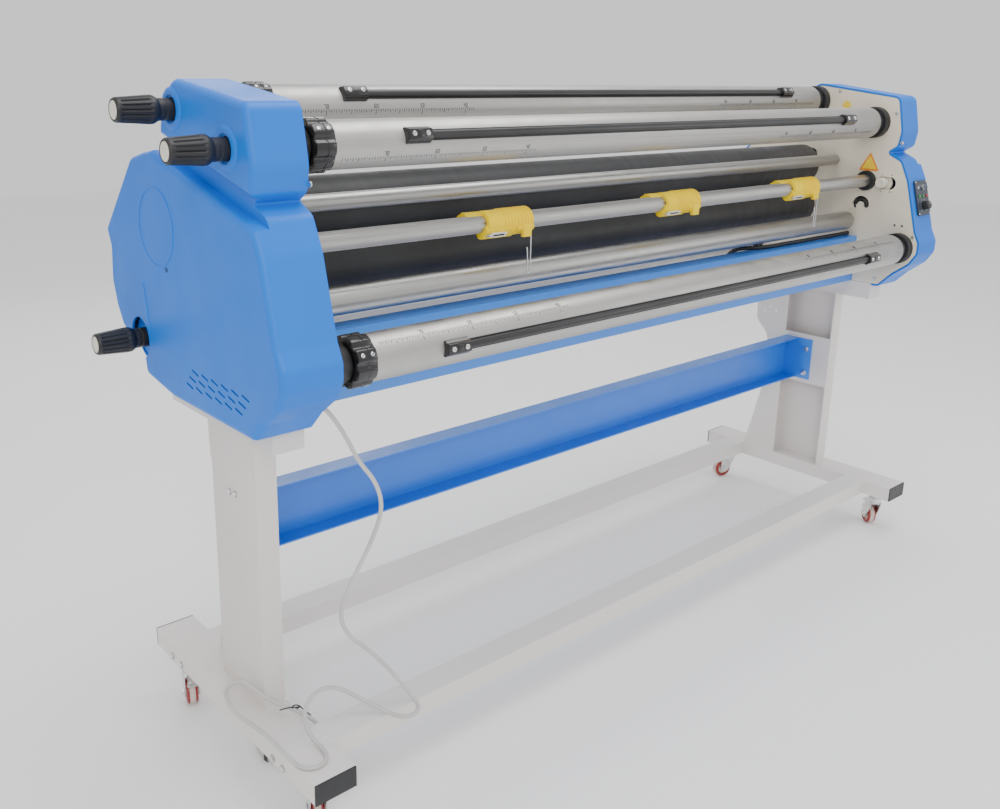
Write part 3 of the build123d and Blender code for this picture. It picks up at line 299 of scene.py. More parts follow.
def upright(x, y, heading):
    """Millimetre axes on the floor, with X at a heading in degrees."""
    turn = Matrix.Rotation(math.radians(heading), 4, "Z")
    return Matrix.Translation(at(x, y, 0)) @ turn @ Matrix.Scale(MM, 4)


def facing(side, x, y, z):
    """Millimetre axes at a point, with Z along X towards a side."""
    return along((x, y, z), (side, 0, 0))


def around(count):
    """Evenly spaced angles of one turn, in radians."""
    return [math.tau * k / count for k in range(count)]


def polar(radius, angle):
    """X and Y at a radius and an angle in radians."""
    return radius * math.cos(angle), radius * math.sin(angle)


def mirrored(half):
    """A profile followed by its mirror image across height zero."""
    return half + [(-height, radius) for height, radius in reversed(half)]


def round_about(y, z, radius, angle):
    """Y and Z at a radius and an angle in degrees above the outfeed side."""
    return y - radius * math.cos(math.radians(angle)), z + radius * math.sin(math.radians(angle))


def outward(angle):
    """The unit vector across X at an angle in degrees above the outfeed side."""
    return Vector((0, *round_about(0, 0, 1, angle)))


def about_x(y, z, angle=0.0):
    """Millimetre axes on a line along X: local Z is +X and local X points outward at the angle."""
    out = outward(angle)
    return axes((0, y, z), out, X.cross(out), X)


def lathe(bm, place, profile, segments):
    """A skin turned about place's Z from (height, radius) rows; rows that stay off it are closed up."""
    if min(profile[0][1], profile[-1][1]) > ON_AXIS:
        profile = list(profile) + [profile[0]]
    rings = []
    for height, radius in profile:
        if radius < ON_AXIS:
            rings.append([bm.verts.new(place @ Vector((0, 0, height)))])
            continue
        points = [Vector((*polar(radius, a), height)) for a in around(segments)]
        rings.append([bm.verts.new(place @ point) for point in points])
    for low, high in zip(rings, rings[1:]):
        for k in range(segments):
            n = (k + 1) % segments
            if len(low) == 1 and len(high) == 1:
                break
            if len(low) == 1:
                bm.faces.new((low[0], high[n], high[k]))
            elif len(high) == 1:
                bm.faces.new((low[k], low[n], high[0]))
            else:
                bm.faces.new((low[k], low[n], high[n], high[k]))


def rings_closed(bm, rings, cap=True):
    """Joins rings of points into a skin, with both ends capped."""
    rows = [[bm.verts.new(p) for p in ring] for ring in rings]
    count = len(rows[0])
    for low, high in zip(rows, rows[1:]):
        for k in range(count):
            n = (k + 1) % count
            bm.faces.new((low[k], low[n], high[n], high[k]))
    if cap:
        bm.faces.new(rows[0][::-1])
        bm.faces.new(rows[-1])


def block(bm, low, high, edge, place=WORLD):
    """A box with rounded edges between two corners, in place's millimetres."""
    low, high = Vector(low), Vector(high)
    middle, size = (low + high) / 2, high - low
    made = bmesh.ops.create_cube(bm, size=1)["verts"]
    for vert in made:
        vert.co = place @ (Vector((vert.co.x * size.x, vert.co.y * size.y, vert.co.z * size.z)) + middle)
    if edge:
        edges = list(dict.fromkeys(e for v in made for e in v.link_edges))
        bmesh.ops.bevel(bm, geom=edges, offset=edge * MM, segments=2, affect="EDGES", profile=0.5)


def rounded(corners, steps=4):
    """A closed outline from (u, v, radius) corners, each turned into an arc."""
    count, points = len(corners), []
    for k, (u, v, radius) in enumerate(corners):
        here = Vector((u, v))
        before = Vector(corners[k - 1][:2]) - here
        after = Vector(corners[(k + 1) % count][:2]) - here
        half = before.angle(after) / 2
        reach = min(radius / math.tan(half), before.length * 0.48, after.length * 0.48)
        if reach < 1e-6:
            points.append(here)
            continue
        start, stop = here + before.normalized() * reach, here + after.normalized() * reach
        for s in range(steps + 1):
            t = s / steps
            points.append(start * (1 - t) ** 2 + here * 2 * t * (1 - t) + stop * t * t)
    return points


def prism(bm, points, place, low, high, edge=0.0):
    """An outline in place's XY plane between two heights, with bevelled rims."""
    bottom = [bm.verts.new(place @ Vector((p[0], p[1], low))) for p in points]
    top = [bm.verts.new(place @ Vector((p[0], p[1], high))) for p in points]
    rims = [bm.faces.new(bottom[::-1]), bm.faces.new(top)]
    count = len(points)
    for k in range(count):
        n = (k + 1) % count
        bm.faces.new((bottom[k], bottom[n], top[n], top[k]))
    if edge:
        edges = list(dict.fromkeys(e for face in rims for e in face.edges))
        bmesh.ops.bevel(bm, geom=edges, offset=edge * MM, segments=2, affect="EDGES", profile=0.5)


def arc_slab(bm, place, radii, angles, heights):
    """A thin curved slab: part of a tube's skin, between two angles in degrees and two heights."""
    rings = []
    for part in (0, 0.5, 1):
        a = -math.radians(angles[0] + (angles[1] - angles[0]) * part)
        c, d = math.cos(a), math.sin(a)
        (r0, r1), (h0, h1) = radii, heights
        corners = ((r0, h0), (r1, h0), (r1, h1), (r0, h1))
        rings.append([place @ Vector((r * c, r * d, h)) for r, h in corners])
    rings_closed(bm, rings)


def screw(bm, place, radius, height):
    """A pan head with a round-bottomed socket, standing on place's local Z."""
    lathe(bm, place, [(-0.4, 0), (-0.4, radius), (height * 0.45, radius), (height * 0.8, radius * 0.88),
                      (height, radius * 0.62), (height, radius * 0.46), (height * 0.4, radius * 0.42),
                      (height * 0.4, 0)], 20)


def hexagon(bm, place, radius, low, high, edge):
    prism(bm, [polar(radius, a) for a in around(6)], place, low, high, edge)


def hex_head(bm, place, radius, height):
    """A hexagon head on a washer."""
    washer = radius * 1.18
    lathe(bm, place, [(-0.3, 0), (-0.3, washer), (0.7, washer), (0.7, radius * 0.9)], 28)
    hexagon(bm, place, radius, 0.5, height, 0.7)


def fluted_ring(place, height, radius, depth, flutes, power, per_flute=8):
    """Points round place's Z at a height, dipped by a depth at each flute."""
    points = []
    for a in around(flutes * per_flute):
        dip = max(0.0, math.cos(flutes * a)) ** power
        points.append(place @ Vector((*polar(radius - depth * dip, a), height)))
    return points


def sweep(bm, line, radius, segments):
    """A tube round a line of points in metres; radius(s, angle) gives its skin."""
    rings, travelled = [], 0.0
    normal = None
    for k, here in enumerate(line):
        ahead = line[min(k + 1, len(line) - 1)] - line[max(k - 1, 0)]
        ahead.normalize()
        if normal is None:
            normal = ahead.orthogonal().normalized()
        normal = (normal - ahead * normal.dot(ahead)).normalized()
        other = ahead.cross(normal)
        if k:
            travelled += (here - line[k - 1]).length
        rings.append([here + (normal * math.cos(a) + other * math.sin(a)) * radius(travelled, a)
                      for a in around(segments)])
    rings_closed(bm, rings)


def nurbs(name, route, samples):
    """Curve data with one open NURBS spline, whose control points are in millimetres."""
    data = bpy.data.curves.new(name, "CURVE")
    data.dimensions = "3D"
    data.resolution_u = samples
    spline = data.splines.new("NURBS")
    spline.points.add(len(route) - 1)
    for point, spot in zip(spline.points, route):
        point.co = (*at(*spot), 1.0)
    spline.order_u = 3
    spline.use_endpoint_u = True
    return data


CORD_SAMPLES = 10


def curve_piece(name, route, radius, material, body):
    """A NURBS tube with a radius in metres round a route in millimetres."""
    data = nurbs(name, route, CORD_SAMPLES)
    data.bevel_depth = radius
    data.bevel_resolution = 5
    data.use_fill_caps = True
    data.materials.append(MATERIALS[material])
    piece = bpy.data.objects.new(name, data)
    bpy.context.scene.collection.objects.link(piece)
    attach(piece, body)
    return piece


def spline_line(route, samples):
    """Points in metres along the NURBS spline that has the route as its control points."""
    data = nurbs("guide", route, samples)
    guide = bpy.data.objects.new("guide", data)
    mesh = bpy.data.meshes.new_from_object(guide)
    points = [v.co.copy() for v in mesh.vertices]
    bpy.data.objects.remove(guide)
    bpy.data.curves.remove(data)
    bpy.data.meshes.remove(mesh)
    return points


# ---- the mains cord
CORD_DIA = 0.0072
GRIP_AT = (-863.4, -172.0, 720.0)           # where the cord leaves the near side plate
GRIP_TILT = math.radians(40)
GRIP_LEN = 42.0
COIL_X, COIL_Y = -835.0, -20.0
PLUG_X, PLUG_Y, PLUG_Z = -793.0, 11.5, 9.0
TIE_HEADING = 196.0


def down_grip(distance):
    """A point on the strain relief's axis, from the plate outwards and down."""
    x, y, z = GRIP_AT
    return (x + distance * math.cos(GRIP_TILT), y, z - distance * math.sin(GRIP_TILT))


CORD_ROUTE = [
    down_grip(14), down_grip(GRIP_LEN + 2), (-800, -178, 645), (-782, -187, 598), (-752, -196, 556),
    (-743, -200, 508), (-769, -201, 456), (-803, -199, 404), (-831, -196, 352), (-812, -195, 302),
    (-774, -196, 264), (-738, -202, 218), (-708, -203, 174), (-693, -211, 147),
    (-694, -235, 139.9), (-714, -248, 139.7), (-736, -240, 139.7), (-748, -216, 141), (-765, -195, 153),
    (-790, -185, 173), (-819, -178, 199), (-848, -175, 211), (-874, -176, 206), (-892, -181, 186),
    (-894, -193, 162), (-888, -208, 144), (-884, -229, 140), (-891, -248, 139.8), (-909, -257, 139.7),
    (-928, -250, 139.7), (-937, -231, 139.7), (-939, -198, 139.7), (-938, -160, 139.7), (-940, -118, 139.8),
    (-947, -87, 141), (-953, -61, 146), (-955, -38, 155), (-951, -22, 163), (-937, -15, 170),
    (-921, -22, 175), (-914, -43, 175), (-911, -70, 171), (-900, -93, 163), (-882, -112, 153),
    (-861, -130, 142), (-843, -148, 123),
    (-834, -151, 96), (-831, -146, 66), (-826, -132, 36), (-813, -110, 13), (-793, -84, 4.4),
    (-787, -52, 3.8),
]


COIL_STEPS = (                              # radius and height of each turn, from the outside in and back out
    (49.3, 3.7), (42.0, 3.7), (34.7, 3.7), (34.7, 10.9), (42.0, 10.9), (49.3, 10.9),
)
COIL_SHIFTS = (290.0, 220.0, 150.0, 80.0, 10.0)      # where each turn moves to the next one's place
SHIFT_ARC = 70.0
PER_TURN = 18


def coil_points():
    """Five turns on the floor, each a cord's width from its neighbours."""
    points = []
    for k in range(len(COIL_SHIFTS) * PER_TURN + 1):
        turn, step = divmod(k, PER_TURN)
        angle = 360.0 * step / PER_TURN
        if turn == len(COIL_SHIFTS):
            turn, angle = turn - 1, 360.0
        part = min(max((angle - COIL_SHIFTS[turn]) / SHIFT_ARC, 0), 1)
        ease = part * part * (3 - 2 * part)
        (r0, h0), (r1, h1) = COIL_STEPS[turn], COIL_STEPS[turn + 1]
        radius, height = r0 + (r1 - r0) * ease, h0 + (h1 - h0) * ease
        a = math.radians(angle)
        across, along_y = polar(radius, a)
        points.append((COIL_X + across, COIL_Y + along_y, height))
    return points


def make_cord():
    lead_out = [(-787.5, -8, 10.6), (-792, 4, 9.4), (PLUG_X, 14, PLUG_Z), (PLUG_X, PLUG_Y + 12, PLUG_Z)]
    route = CORD_ROUTE + coil_points() + lead_out
    flex = curve_piece("mains_cord", route, CORD_DIA / 2, "cord_pvc", "frame")
    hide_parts("cord_tube", "cord_coil")
    boot = make_boot()
    plug = make_plug()
    pins = make_pins()
    tie = make_coil_tie()
    twist = make_twist_tie()


def make_boot():
    """The gland nut and the tapered, ribbed strain relief."""
    bm = bmesh.new()
    axis = Vector(down_grip(1)) - Vector(down_grip(0))
    place = along(down_grip(0), axis)
    profile = [(2, 3.7), (2, 11.4), (3, 12), (13, 12), (14.5, 11), (15, 8.6)]
    for k in range(7):
        start = 15.5 + 3.7 * k
        wide = 8.6 - 0.42 * k
        profile += [(start, wide - 0.9), (start + 1.1, wide - 0.9), (start + 1.5, wide),
                    (start + 3.2, wide - 0.2)]
    profile += [(41.6, 5.3), (42, 4.9), (42, 3.7)]
    lathe(bm, place, profile, 40)
    return make_piece("cord_boot", bm, "black_plastic", "frame", ("cord_grip",))


def make_plug():
    """A moulded plug with a ribbed boot and finger grips."""
    bm = bmesh.new()
    place = along((PLUG_X, PLUG_Y, PLUG_Z), (0, 1, 0))
    profile = [(0, 3.7), (0, 5.0), (0.6, 5.4)]
    for k in range(5):
        start = 2 + 4.6 * k
        wide = 5.8 + 0.5 * k
        profile += [(start, wide), (start + 2.6, wide + 0.3), (start + 2.9, wide - 0.7),
                    (start + 4.2, wide - 0.6)]
    profile += [(28, 8.0), (30, 8.0), (30, 0)]
    lathe(bm, place, profile, 32)
    sides = rounded([(-17, 0.2, 6), (17, 0.2, 6), (17, 19, 6), (-17, 19, 6)], 6)
    outline = [(-u, v) for u, v in sides]
    rings = []
    for y, scale in ((28, 0.62), (30, 0.74), (36, 0.9), (44, 0.98), (52, 1.0), (62.5, 1.0), (64, 0.95)):
        rings.append([at(PLUG_X - u * scale, PLUG_Y + y, 9.6 + (v - 9.6) * scale) for u, v in outline])
    rings_closed(bm, rings)
    for k in range(4):
        for side in (-1, 1):
            x = PLUG_X + side * 15.6
            block(bm, (x - 1.3, PLUG_Y + 42 + 4 * k, 5.5), (x + 1.3, PLUG_Y + 43.6 + 4 * k, 14.0), 0.4)
    return make_piece("mains_plug", bm, "cord_pvc", "frame", ("cord_plug",))


def make_pins():
    bm = bmesh.new()
    for side in (-1, 1):
        place = along((PLUG_X + side * 9.5, PLUG_Y + 62, 9.6), (0, 1, 0))
        lathe(bm, place, [(0, 0), (0, 2.4), (19, 2.4), (20.4, 1.9), (21, 0.9), (21, 0)], 24)
    return make_piece("mains_plug_pins", bm, "zinc_steel", "frame")


def make_coil_tie():
    """A strap round the coil's bundle, opposite the plug."""
    bm = bmesh.new()
    inner, outer, top = 30.4, 53.6, 15.0
    outline = rounded([(inner, 0.1, 3), (outer, 0.1, 3), (outer, top, 3), (inner, top, 3)], 5)
    middle = Vector(((inner + outer) / 2, top / 2))
    slim = [middle + (p - middle) * 0.945 for p in outline]
    place = upright(COIL_X, COIL_Y, TIE_HEADING)
    rings = []
    for points, y in ((outline, -4.0), (outline, 4.0), (slim, 4.0), (slim, -4.0), (outline, -4.0)):
        rings.append([place @ Vector((p.x, y, p.y)) for p in points])
    rings_closed(bm, rings, cap=False)
    bmesh.ops.remove_doubles(bm, verts=bm.verts[:], dist=WELD * 10)
    block(bm, (outer - 9, -2.6, top - 0.3), (outer + 0.6, 2.8, top + 0.6), 0.3, place)
    return make_piece("coil_tie", bm, "wrap_black", "frame")


def make_twist_tie():
    """A wire tie left on the cord, twisted once and with two loose ends."""
    bm = bmesh.new()
    route = [(-857, -146, 146), (-865, -136, 154), (-868, -127, 160), (-876, -121, 160), (-877, -118, 151),
             (-868, -120, 149), (-865, -128, 157), (-874, -132, 161), (-885, -128, 164), (-893, -118, 158),
             (-901, -120, 161)]
    sweep(bm, spline_line(route, 8), lambda s, a: 0.0011, 8)
    return make_piece("cord_twist_tie", bm, "wrap_black", "frame")


# ---- carried-over CAD nodes
CAD_FINISH = {
    "cream_paint": ("foot_near", "foot_far", "front_stretcher", "rear_stretcher", "leg_near", "leg_far"),
    "plate_cream": ("side_plate_near", "side_plate_far"),
    "blue_cover": ("end_cover_near", "end_cover_far"),
    "blue_paint": ("cross_channel", "upper_beam"),
    "black_plastic": ("foot_end_caps",),
    "steel": ("upper_bearing_blocks", "lower_bearing_blocks", "upper_roller", "lower_roller",
              "motor_sprocket", "drive_chain"),
    "satin_aluminium": ("lift_cylinders",),
    "black_metal": ("drive_motor",),
    "panel_plastic": ("control_panel",),
}
CAD_SMOOTH, BEVEL_OVER = 28, 50             # edges sharper than this show, and get a bevel, in degrees
SOFTENED = {                                # bevel width in millimetres
    "foot_near": 2.0, "foot_far": 2.0, "front_stretcher": 1.5, "rear_stretcher": 1.5, "leg_near": 1.0,
    "leg_far": 1.0, "side_plate_near": 0.8, "side_plate_far": 0.8, "cross_channel": 1.0, "upper_beam": 1.0,
    "control_panel": 0.8, "foot_end_caps": 1.0, "drive_motor": 0.8,
}


def finish_cad():
    for material, nodes in CAD_FINISH.items():
        for node in nodes:
            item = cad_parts[node]
            item.data.materials.clear()
            item.data.materials.append(MATERIALS[material])
            item.data.polygons.foreach_set("use_smooth", [True] * len(item.data.polygons))
            item.data.set_sharp_from_angle(angle=math.radians(CAD_SMOOTH))
            if node in SOFTENED:
                bevel = item.modifiers.new("soft_edges", "BEVEL")
                bevel.width = SOFTENED[node] * MM
                bevel.segments = 2
                bevel.limit_method = "ANGLE"
                bevel.angle_limit = math.radians(BEVEL_OVER)
                bevel.harden_normals = False


# ---- main rollers
ROLLER_Y, ROLLER_R, ROLLER_HALF = 42.0, 52.05, 817.1
ROLLERS = {"upper_roller": 969.15, "lower_roller": 864.85}


def make_roller_cover(name, z):
    bm = bmesh.new()
    half, r = ROLLER_HALF, ROLLER_R
    rim = [(-half, 38), (-half, r - 3), (-half + 0.6, r - 1.6), (-half + 1.6, r - 0.5), (-half + 3, r)]
    lathe(bm, about_x(ROLLER_Y, z), mirrored(rim), 128)
    make_piece(f"{name}_rubber", bm, "roller_rubber", name)


# ---- film shafts
SHAFTS = {                                  # y, z, grip strip's angle, ruler's angle
    "top_rear": (42.9, 1132.0, 35.0, -4.0),
    "top_front": (-123.8, 1082.7, 18.0, -29.0),
    "take_up": (-221.2, 775.0, 2.0, 50.0),
    "low_rear": (198.0, 748.0, 8.0, 58.0),
}
KNOBBED = ("top_rear", "top_front", "low_rear")
SHAFT_R, SHAFT_NEAR, SHAFT_FAR = 37.3, -793.0, 817.0
PRINT = (SHAFT_R - 0.1, SHAFT_R + 0.12)     # inner and outer radius of the ink
DEGREE = math.degrees(1 / SHAFT_R)          # degrees in one millimetre round the shaft
STRIP_NEAR, STRIP_FAR = -666.0, 678.0
BRACKET_LEN = 46.0
PLATE_IN, PLATE_T = 863.4, 8.0


def make_shaft(name, y, z):
    bm = bmesh.new()
    r = SHAFT_R
    near_end = -906 if name in KNOBBED else -888
    near, far, far_end = SHAFT_NEAR, SHAFT_FAR, PLATE_IN + PLATE_T + 4
    profile = [(near_end, 0), (near_end, 11), (near_end + 1, 12), (near, 12), (near, r - 1),
               (near + 0.4, r - 0.3), (near + 1, r), (far - 1, r), (far - 0.4, r - 0.3), (far, r - 1),
               (far, r - 3), (far - 1.5, r - 3.4), (far - 1.5, 12), (far_end - 0.6, 12), (far_end, 11.4),
               (far_end, 0)]
    lathe(bm, about_x(y, z), profile, 96)
    make_piece(f"{name}_tube", bm, "satin_aluminium", f"{name}_shaft", (f"{name}_shaft",))


SEGMENTS = {                                # the seven strokes of a plain digit, by its number
    0: "abcdef", 1: "bc", 2: "abged", 3: "abgcd", 4: "fgbc",
    5: "afgcd", 6: "afgedc", 7: "abc", 8: "abcdefg", 9: "abfgcd",
}
DIGIT_W, DIGIT_H, STROKE = 3.6, 6.2, 0.95
RULED = (38, 78)                            # the scale runs between these centimetres from the middle
TICKS = ((20, 10.0), (10, 7.5), (2, 5.4), (1, 3.2))      # half centimetres between ticks, tick length


def digit(bm, place, number, start, angle):
    """One printed digit, upright along the shaft's turn, with its left edge at start."""
    low, mid, high = angle, angle + DIGIT_H / 2 * DEGREE, angle + DIGIT_H * DEGREE
    stop = start + DIGIT_W
    half = STROKE / 2 * DEGREE
    across, left, right = (start, stop), (start, start + STROKE), (stop - STROKE, stop)
    strokes = {
        "a": ((high - half, high + half), across), "g": ((mid - half, mid + half), across),
        "d": ((low - half, low + half), across), "f": ((mid, high), left), "b": ((mid, high), right),
        "e": ((low, mid), left), "c": ((low, mid), right),
    }
    for key in SEGMENTS[number]:
        arc_slab(bm, place, PRINT, *strokes[key])


def make_ruler(name, y, z, angle):
    """The printed centimetre scale near both ends of a film shaft."""
    bm = bmesh.new()
    place = about_x(y, z)
    for side in (-1, 1):
        for tick in range(RULED[0] * 2, RULED[1] * 2 + 1):
            x = side * tick * 5.0
            reach = next(length for step, length in TICKS if tick % step == 0)
            arc_slab(bm, place, PRINT, (angle - reach * DEGREE, angle), (x - 0.5, x + 0.5))
            if tick % TICKS[0][0] == 0:
                for k, figure in enumerate(divmod(tick // 2, 10)):
                    digit(bm, place, figure, x - 4.4 + 5.0 * k, angle + 1.6 * DEGREE)
    make_piece(f"{name}_ruler", bm, "ink", f"{name}_shaft")


def make_grip(name, y, z, angle):
    """The half-round rubber strip let into the shaft between its two brackets."""
    bm = bmesh.new()
    place = about_x(y, z, angle)
    outline = [(36.4, -6.5), (41.5, -6.5)]
    for k in range(9):
        a = math.radians(-90 + 22.5 * k)
        outline.append((41.5 + 3.7 * math.cos(a), 6.4 * math.sin(a)))
    outline += [(41.5, 6.5), (36.4, 6.5)]
    prism(bm, outline, place, STRIP_NEAR + 30, STRIP_FAR - 30)
    for v in (-7.6, 7.6):
        block(bm, (36.4, v - 1.1, STRIP_NEAR + 44), (38.4, v + 1.1, STRIP_FAR - 44), 0.4, place)
    make_piece(f"{name}_strip", bm, "strip_rubber", f"{name}_shaft", (f"{name}_grip",))


def bracket_body(bm, place, x0, x1):
    """A moulded bracket with a crowned top, a raised lip and flared feet."""
    foot = [(35.6, -13, 0.5), (40.0, -13, 1.5), (44.5, -9.6, 3), (49.6, -8.6, 2.4), (49.6, 8.6, 2.4),
            (44.5, 9.6, 3), (40.0, 13, 1.5), (35.6, 13, 0.5)]
    prism(bm, rounded(foot), place, x0, x1, 1.2)
    middle = (x0 + x1) / 2
    lip = rounded([(48.6, -5.6, 1), (50.3, -5.6, 1), (50.3, 5.6, 1), (48.6, 5.6, 1)], 3)
    prism(bm, lip, place, middle - 5.5, middle + 5.5, 0.5)


def make_brackets(name, y, z, angle):
    """Both end brackets and the scalloped locking collar."""
    bm = bmesh.new()
    place = about_x(y, z, angle)
    bracket_body(bm, place, STRIP_NEAR, STRIP_NEAR + BRACKET_LEN)
    bracket_body(bm, place, STRIP_FAR - BRACKET_LEN, STRIP_FAR)
    collar = ((-829, 0.93), (-827.6, 0.985), (-825.5, 1.0), (-812, 1.0), (-811, 0.975), (-808.5, 0.975),
              (-807.5, 1.0), (-796, 1.0), (-794, 0.985), (-793, 0.94))
    rings_closed(bm, [fluted_ring(place, height, 41 * scale, 4.6 * scale, 8, 1.5, 16)
                      for height, scale in collar])
    make_piece(f"{name}_brackets", bm, "black_gloss", f"{name}_shaft")


def make_bracket_screws(name, y, z, angle):
    bm = bmesh.new()
    out = outward(angle)
    for start in (STRIP_NEAR, STRIP_FAR - BRACKET_LEN):
        for offset in (9.5, BRACKET_LEN - 9.5):
            screw(bm, along(Vector((start + offset, y, z)) + out * 49.3, out), 4.4, 2.6)
    for turn in (22.5, 202.5):
        out = outward(angle + turn)
        for x in (-802, -819):
            screw(bm, along(Vector((x, y, z)) + out * 40.6, out), 3.4, 1.2)
    make_piece(f"{name}_screws", bm, "zinc_steel", f"{name}_shaft")


def make_bearings():
    """Housings at both ends of each film shaft, with the brake cups behind the near ones."""
    bm = bmesh.new()
    for name, (y, z, _, _) in SHAFTS.items():
        place = about_x(y, z)
        near = [(-PLATE_IN, 12.3), (-PLATE_IN, 38.4), (-859, 38.4), (-857.6, 37.6), (-856.8, 35.4),
                (-834, 30.6), (-832, 29.6), (-831, 28), (-831, 12.3)]
        lathe(bm, place, near, 64)
        if name in KNOBBED:
            cup = [(-930, 6.3), (-930, 20), (-928, 22), (-872, 22), (-871.4, 18), (-871.4, 12.3),
                   (-907, 12.3), (-907, 6.3)]
        else:
            cup = [(-885.4, 12.3), (-885.4, 20), (-883.4, 22), (-873, 22), (-871.4, 20), (-871.4, 12.3)]
        lathe(bm, place, cup, 40)
        far = [(PLATE_IN, 12.3), (PLATE_IN, 38.4), (845.4, 38.4), (844, 37.8), (843.4, 36.6), (843.4, 31),
               (822, 31), (820.6, 30.4), (820, 29), (820, 25), (823, 24), (823, 12.3)]
        lathe(bm, place, far, 64)
        for k in range(3):
            for x, side in ((-PLATE_IN + 4.6, 1), (PLATE_IN - 20.2, -1)):
                screw(bm, facing(side, x, *round_about(y, z, 34.6, 30 + 120 * k)), 2.6, 1.2)
    y, z, _ = IDLERS["lower_idler"]
    for side in (-1, 1):
        low, high = sorted((side * PLATE_IN, side * (PLATE_IN + PLATE_T)))
        lathe(bm, about_x(y, z), [(low, 6.3), (low, 14.3), (high, 14.3), (high, 6.3)], 40)
    make_piece("shaft_housings", bm, "black_plastic", "frame", ("shaft_bearings",))


# ---- brake knobs
KNOB_ROWS = (                               # height, radius, depth of the flutes
    (-1040.4, 13.8, 0), (-1040.6, 14.2, 0), (-1041.9, 14.5, 0), (-1041.8, 16.0, 0), (-1040, 17.8, 0),
    (-1037.5, 18.4, 0), (-1034.5, 18.5, 0.1), (-1033.2, 18.6, 1.3), (-1031.5, 18.7, 1.7), (-1010, 20.0, 1.9),
    (-992, 21.3, 1.9), (-990, 21.4, 1.5), (-988.4, 21.5, 0.2), (-985.5, 21.5, 0), (-983, 21.2, 0),
    (-980, 19.8, 0), (-976.4, 17.6, 0), (-975.4, 16.8, 0), (-968.0, 16.8, 0), (-967.2, 15.9, 0),
    (-964.8, 15.9, 0), (-964, 16.8, 0), (-948.4, 16.8, 0), (-948, 16.4, 0),
)


def make_knob(name, y, z):
    bm = bmesh.new()
    place = about_x(y, z)
    rings_closed(bm, [fluted_ring(place, *row, 16, 1.4) for row in KNOB_ROWS])
    pin = [(-948.2, 0), (-948.2, 5.4), (-948.02, 5.82), (-947.6, 6), (-912.6, 6), (-912.18, 5.82),
           (-912, 5.4), (-912, 0)]
    lathe(bm, place, pin, 32)
    make_piece(f"{name}_knob", bm, "black_plastic", f"{name}_brake_knob", (f"{name}_brake_knob",))
    disc = bmesh.new()
    lathe(disc, place, [(-1041.9, 0), (-1042.0, 3), (-1042.0, 12.4), (-1041.7, 13.4), (-1041, 13.9),
                        (-1040, 13.9), (-1040, 0)], 48)
    make_piece(f"{name}_knob_disc", disc, "cream_plastic", f"{name}_brake_knob")


# ---- idlers
IDLERS = {"upper_idler": (-34.0, 985.0, 14.5), "lower_idler": (-83.0, 832.0, 23.4)}


def make_idler(name, y, z, r):
    bm = bmesh.new()
    end, pin = PLATE_IN - 17, PLATE_IN + PLATE_T + 4
    half = [(-pin, 0), (-pin, 5.6), (-pin + 0.6, 6), (-end - 3, 6), (-end, 6), (-end, r - 3.6),
            (-end, r - 1.2), (-end + 0.4, r - 0.4), (-end + 1.2, r)]
    lathe(bm, about_x(y, z), mirrored(half), 80)
    make_piece(f"{name}_tube", bm, "bright_aluminium", name, (name,))


# ---- the cutter rod and slitters
ROD_Y, ROD_Z, ROD_R = -117.9, 936.7, 15.75
SLOT_TURN, GROOVE = -14.0, 2.2              # the groove's angle in degrees and its depth


def make_cutter_rod():
    """The rod with a real groove along it, where the slitters lock."""
    bm = bmesh.new()
    outline = []
    half = math.degrees(1.2 / ROD_R)
    for k in range(72):
        a = SLOT_TURN + half + (360 - 2 * half) * k / 71
        outline.append(polar(ROD_R, math.radians(a)))
    for turn in (-half, half):
        outline.append(polar(ROD_R - GROOVE, math.radians(SLOT_TURN + turn)))
    prism(bm, outline, about_x(ROD_Y, ROD_Z), -PLATE_IN, PLATE_IN)
    make_piece("cutter_rod_tube", bm, "bright_aluminium", "frame", ("cutter_rod",), angle=24)


def make_rod_ends():
    """End flanges with their screws, and the index pegs in the plates' slots."""
    flanges, pegs = bmesh.new(), bmesh.new()
    for side in (-1, 1):
        inner = PLATE_IN - 9
        rows = [(PLATE_IN, ROD_R - 0.2), (PLATE_IN, 25.4), (inner + 2, 25.4), (inner + 0.6, 24.8),
                (inner, 23.6), (inner, 18.4), (inner - 1.6, 17.6), (inner - 1.6, ROD_R - 0.2)]
        lathe(flanges, about_x(ROD_Y, ROD_Z), [(side * h, r) for h, r in rows], 56)
        for k in range(3):
            spot = round_about(ROD_Y, ROD_Z, 21, 60 + 120 * k)
            screw(flanges, facing(-side, side * inner, *spot), 2.2, 1.1)
        peg = [(14, 0), (14, 20), (12.6, 21.4), (8.2, 21.4), (8.2, 13.4), (-11, 13.4), (-13, 12.6), (-14, 11),
               (-14, 6.4), (-12.6, 5.8), (-12.6, 0)]
        lathe(pegs, about_x(-160.7, 934), [(side * (PLATE_IN + h), r) for h, r in peg], 48)
    make_piece("rod_flanges", flanges, "black_plastic", "frame")
    make_piece("index_pegs", pegs, "cream_plastic", "frame")


SLITTERS = (-415.0, 76.0, 546.0)
EYE_Y, EYE_Z = ROD_Y - 21.5, ROD_Z - 22.0


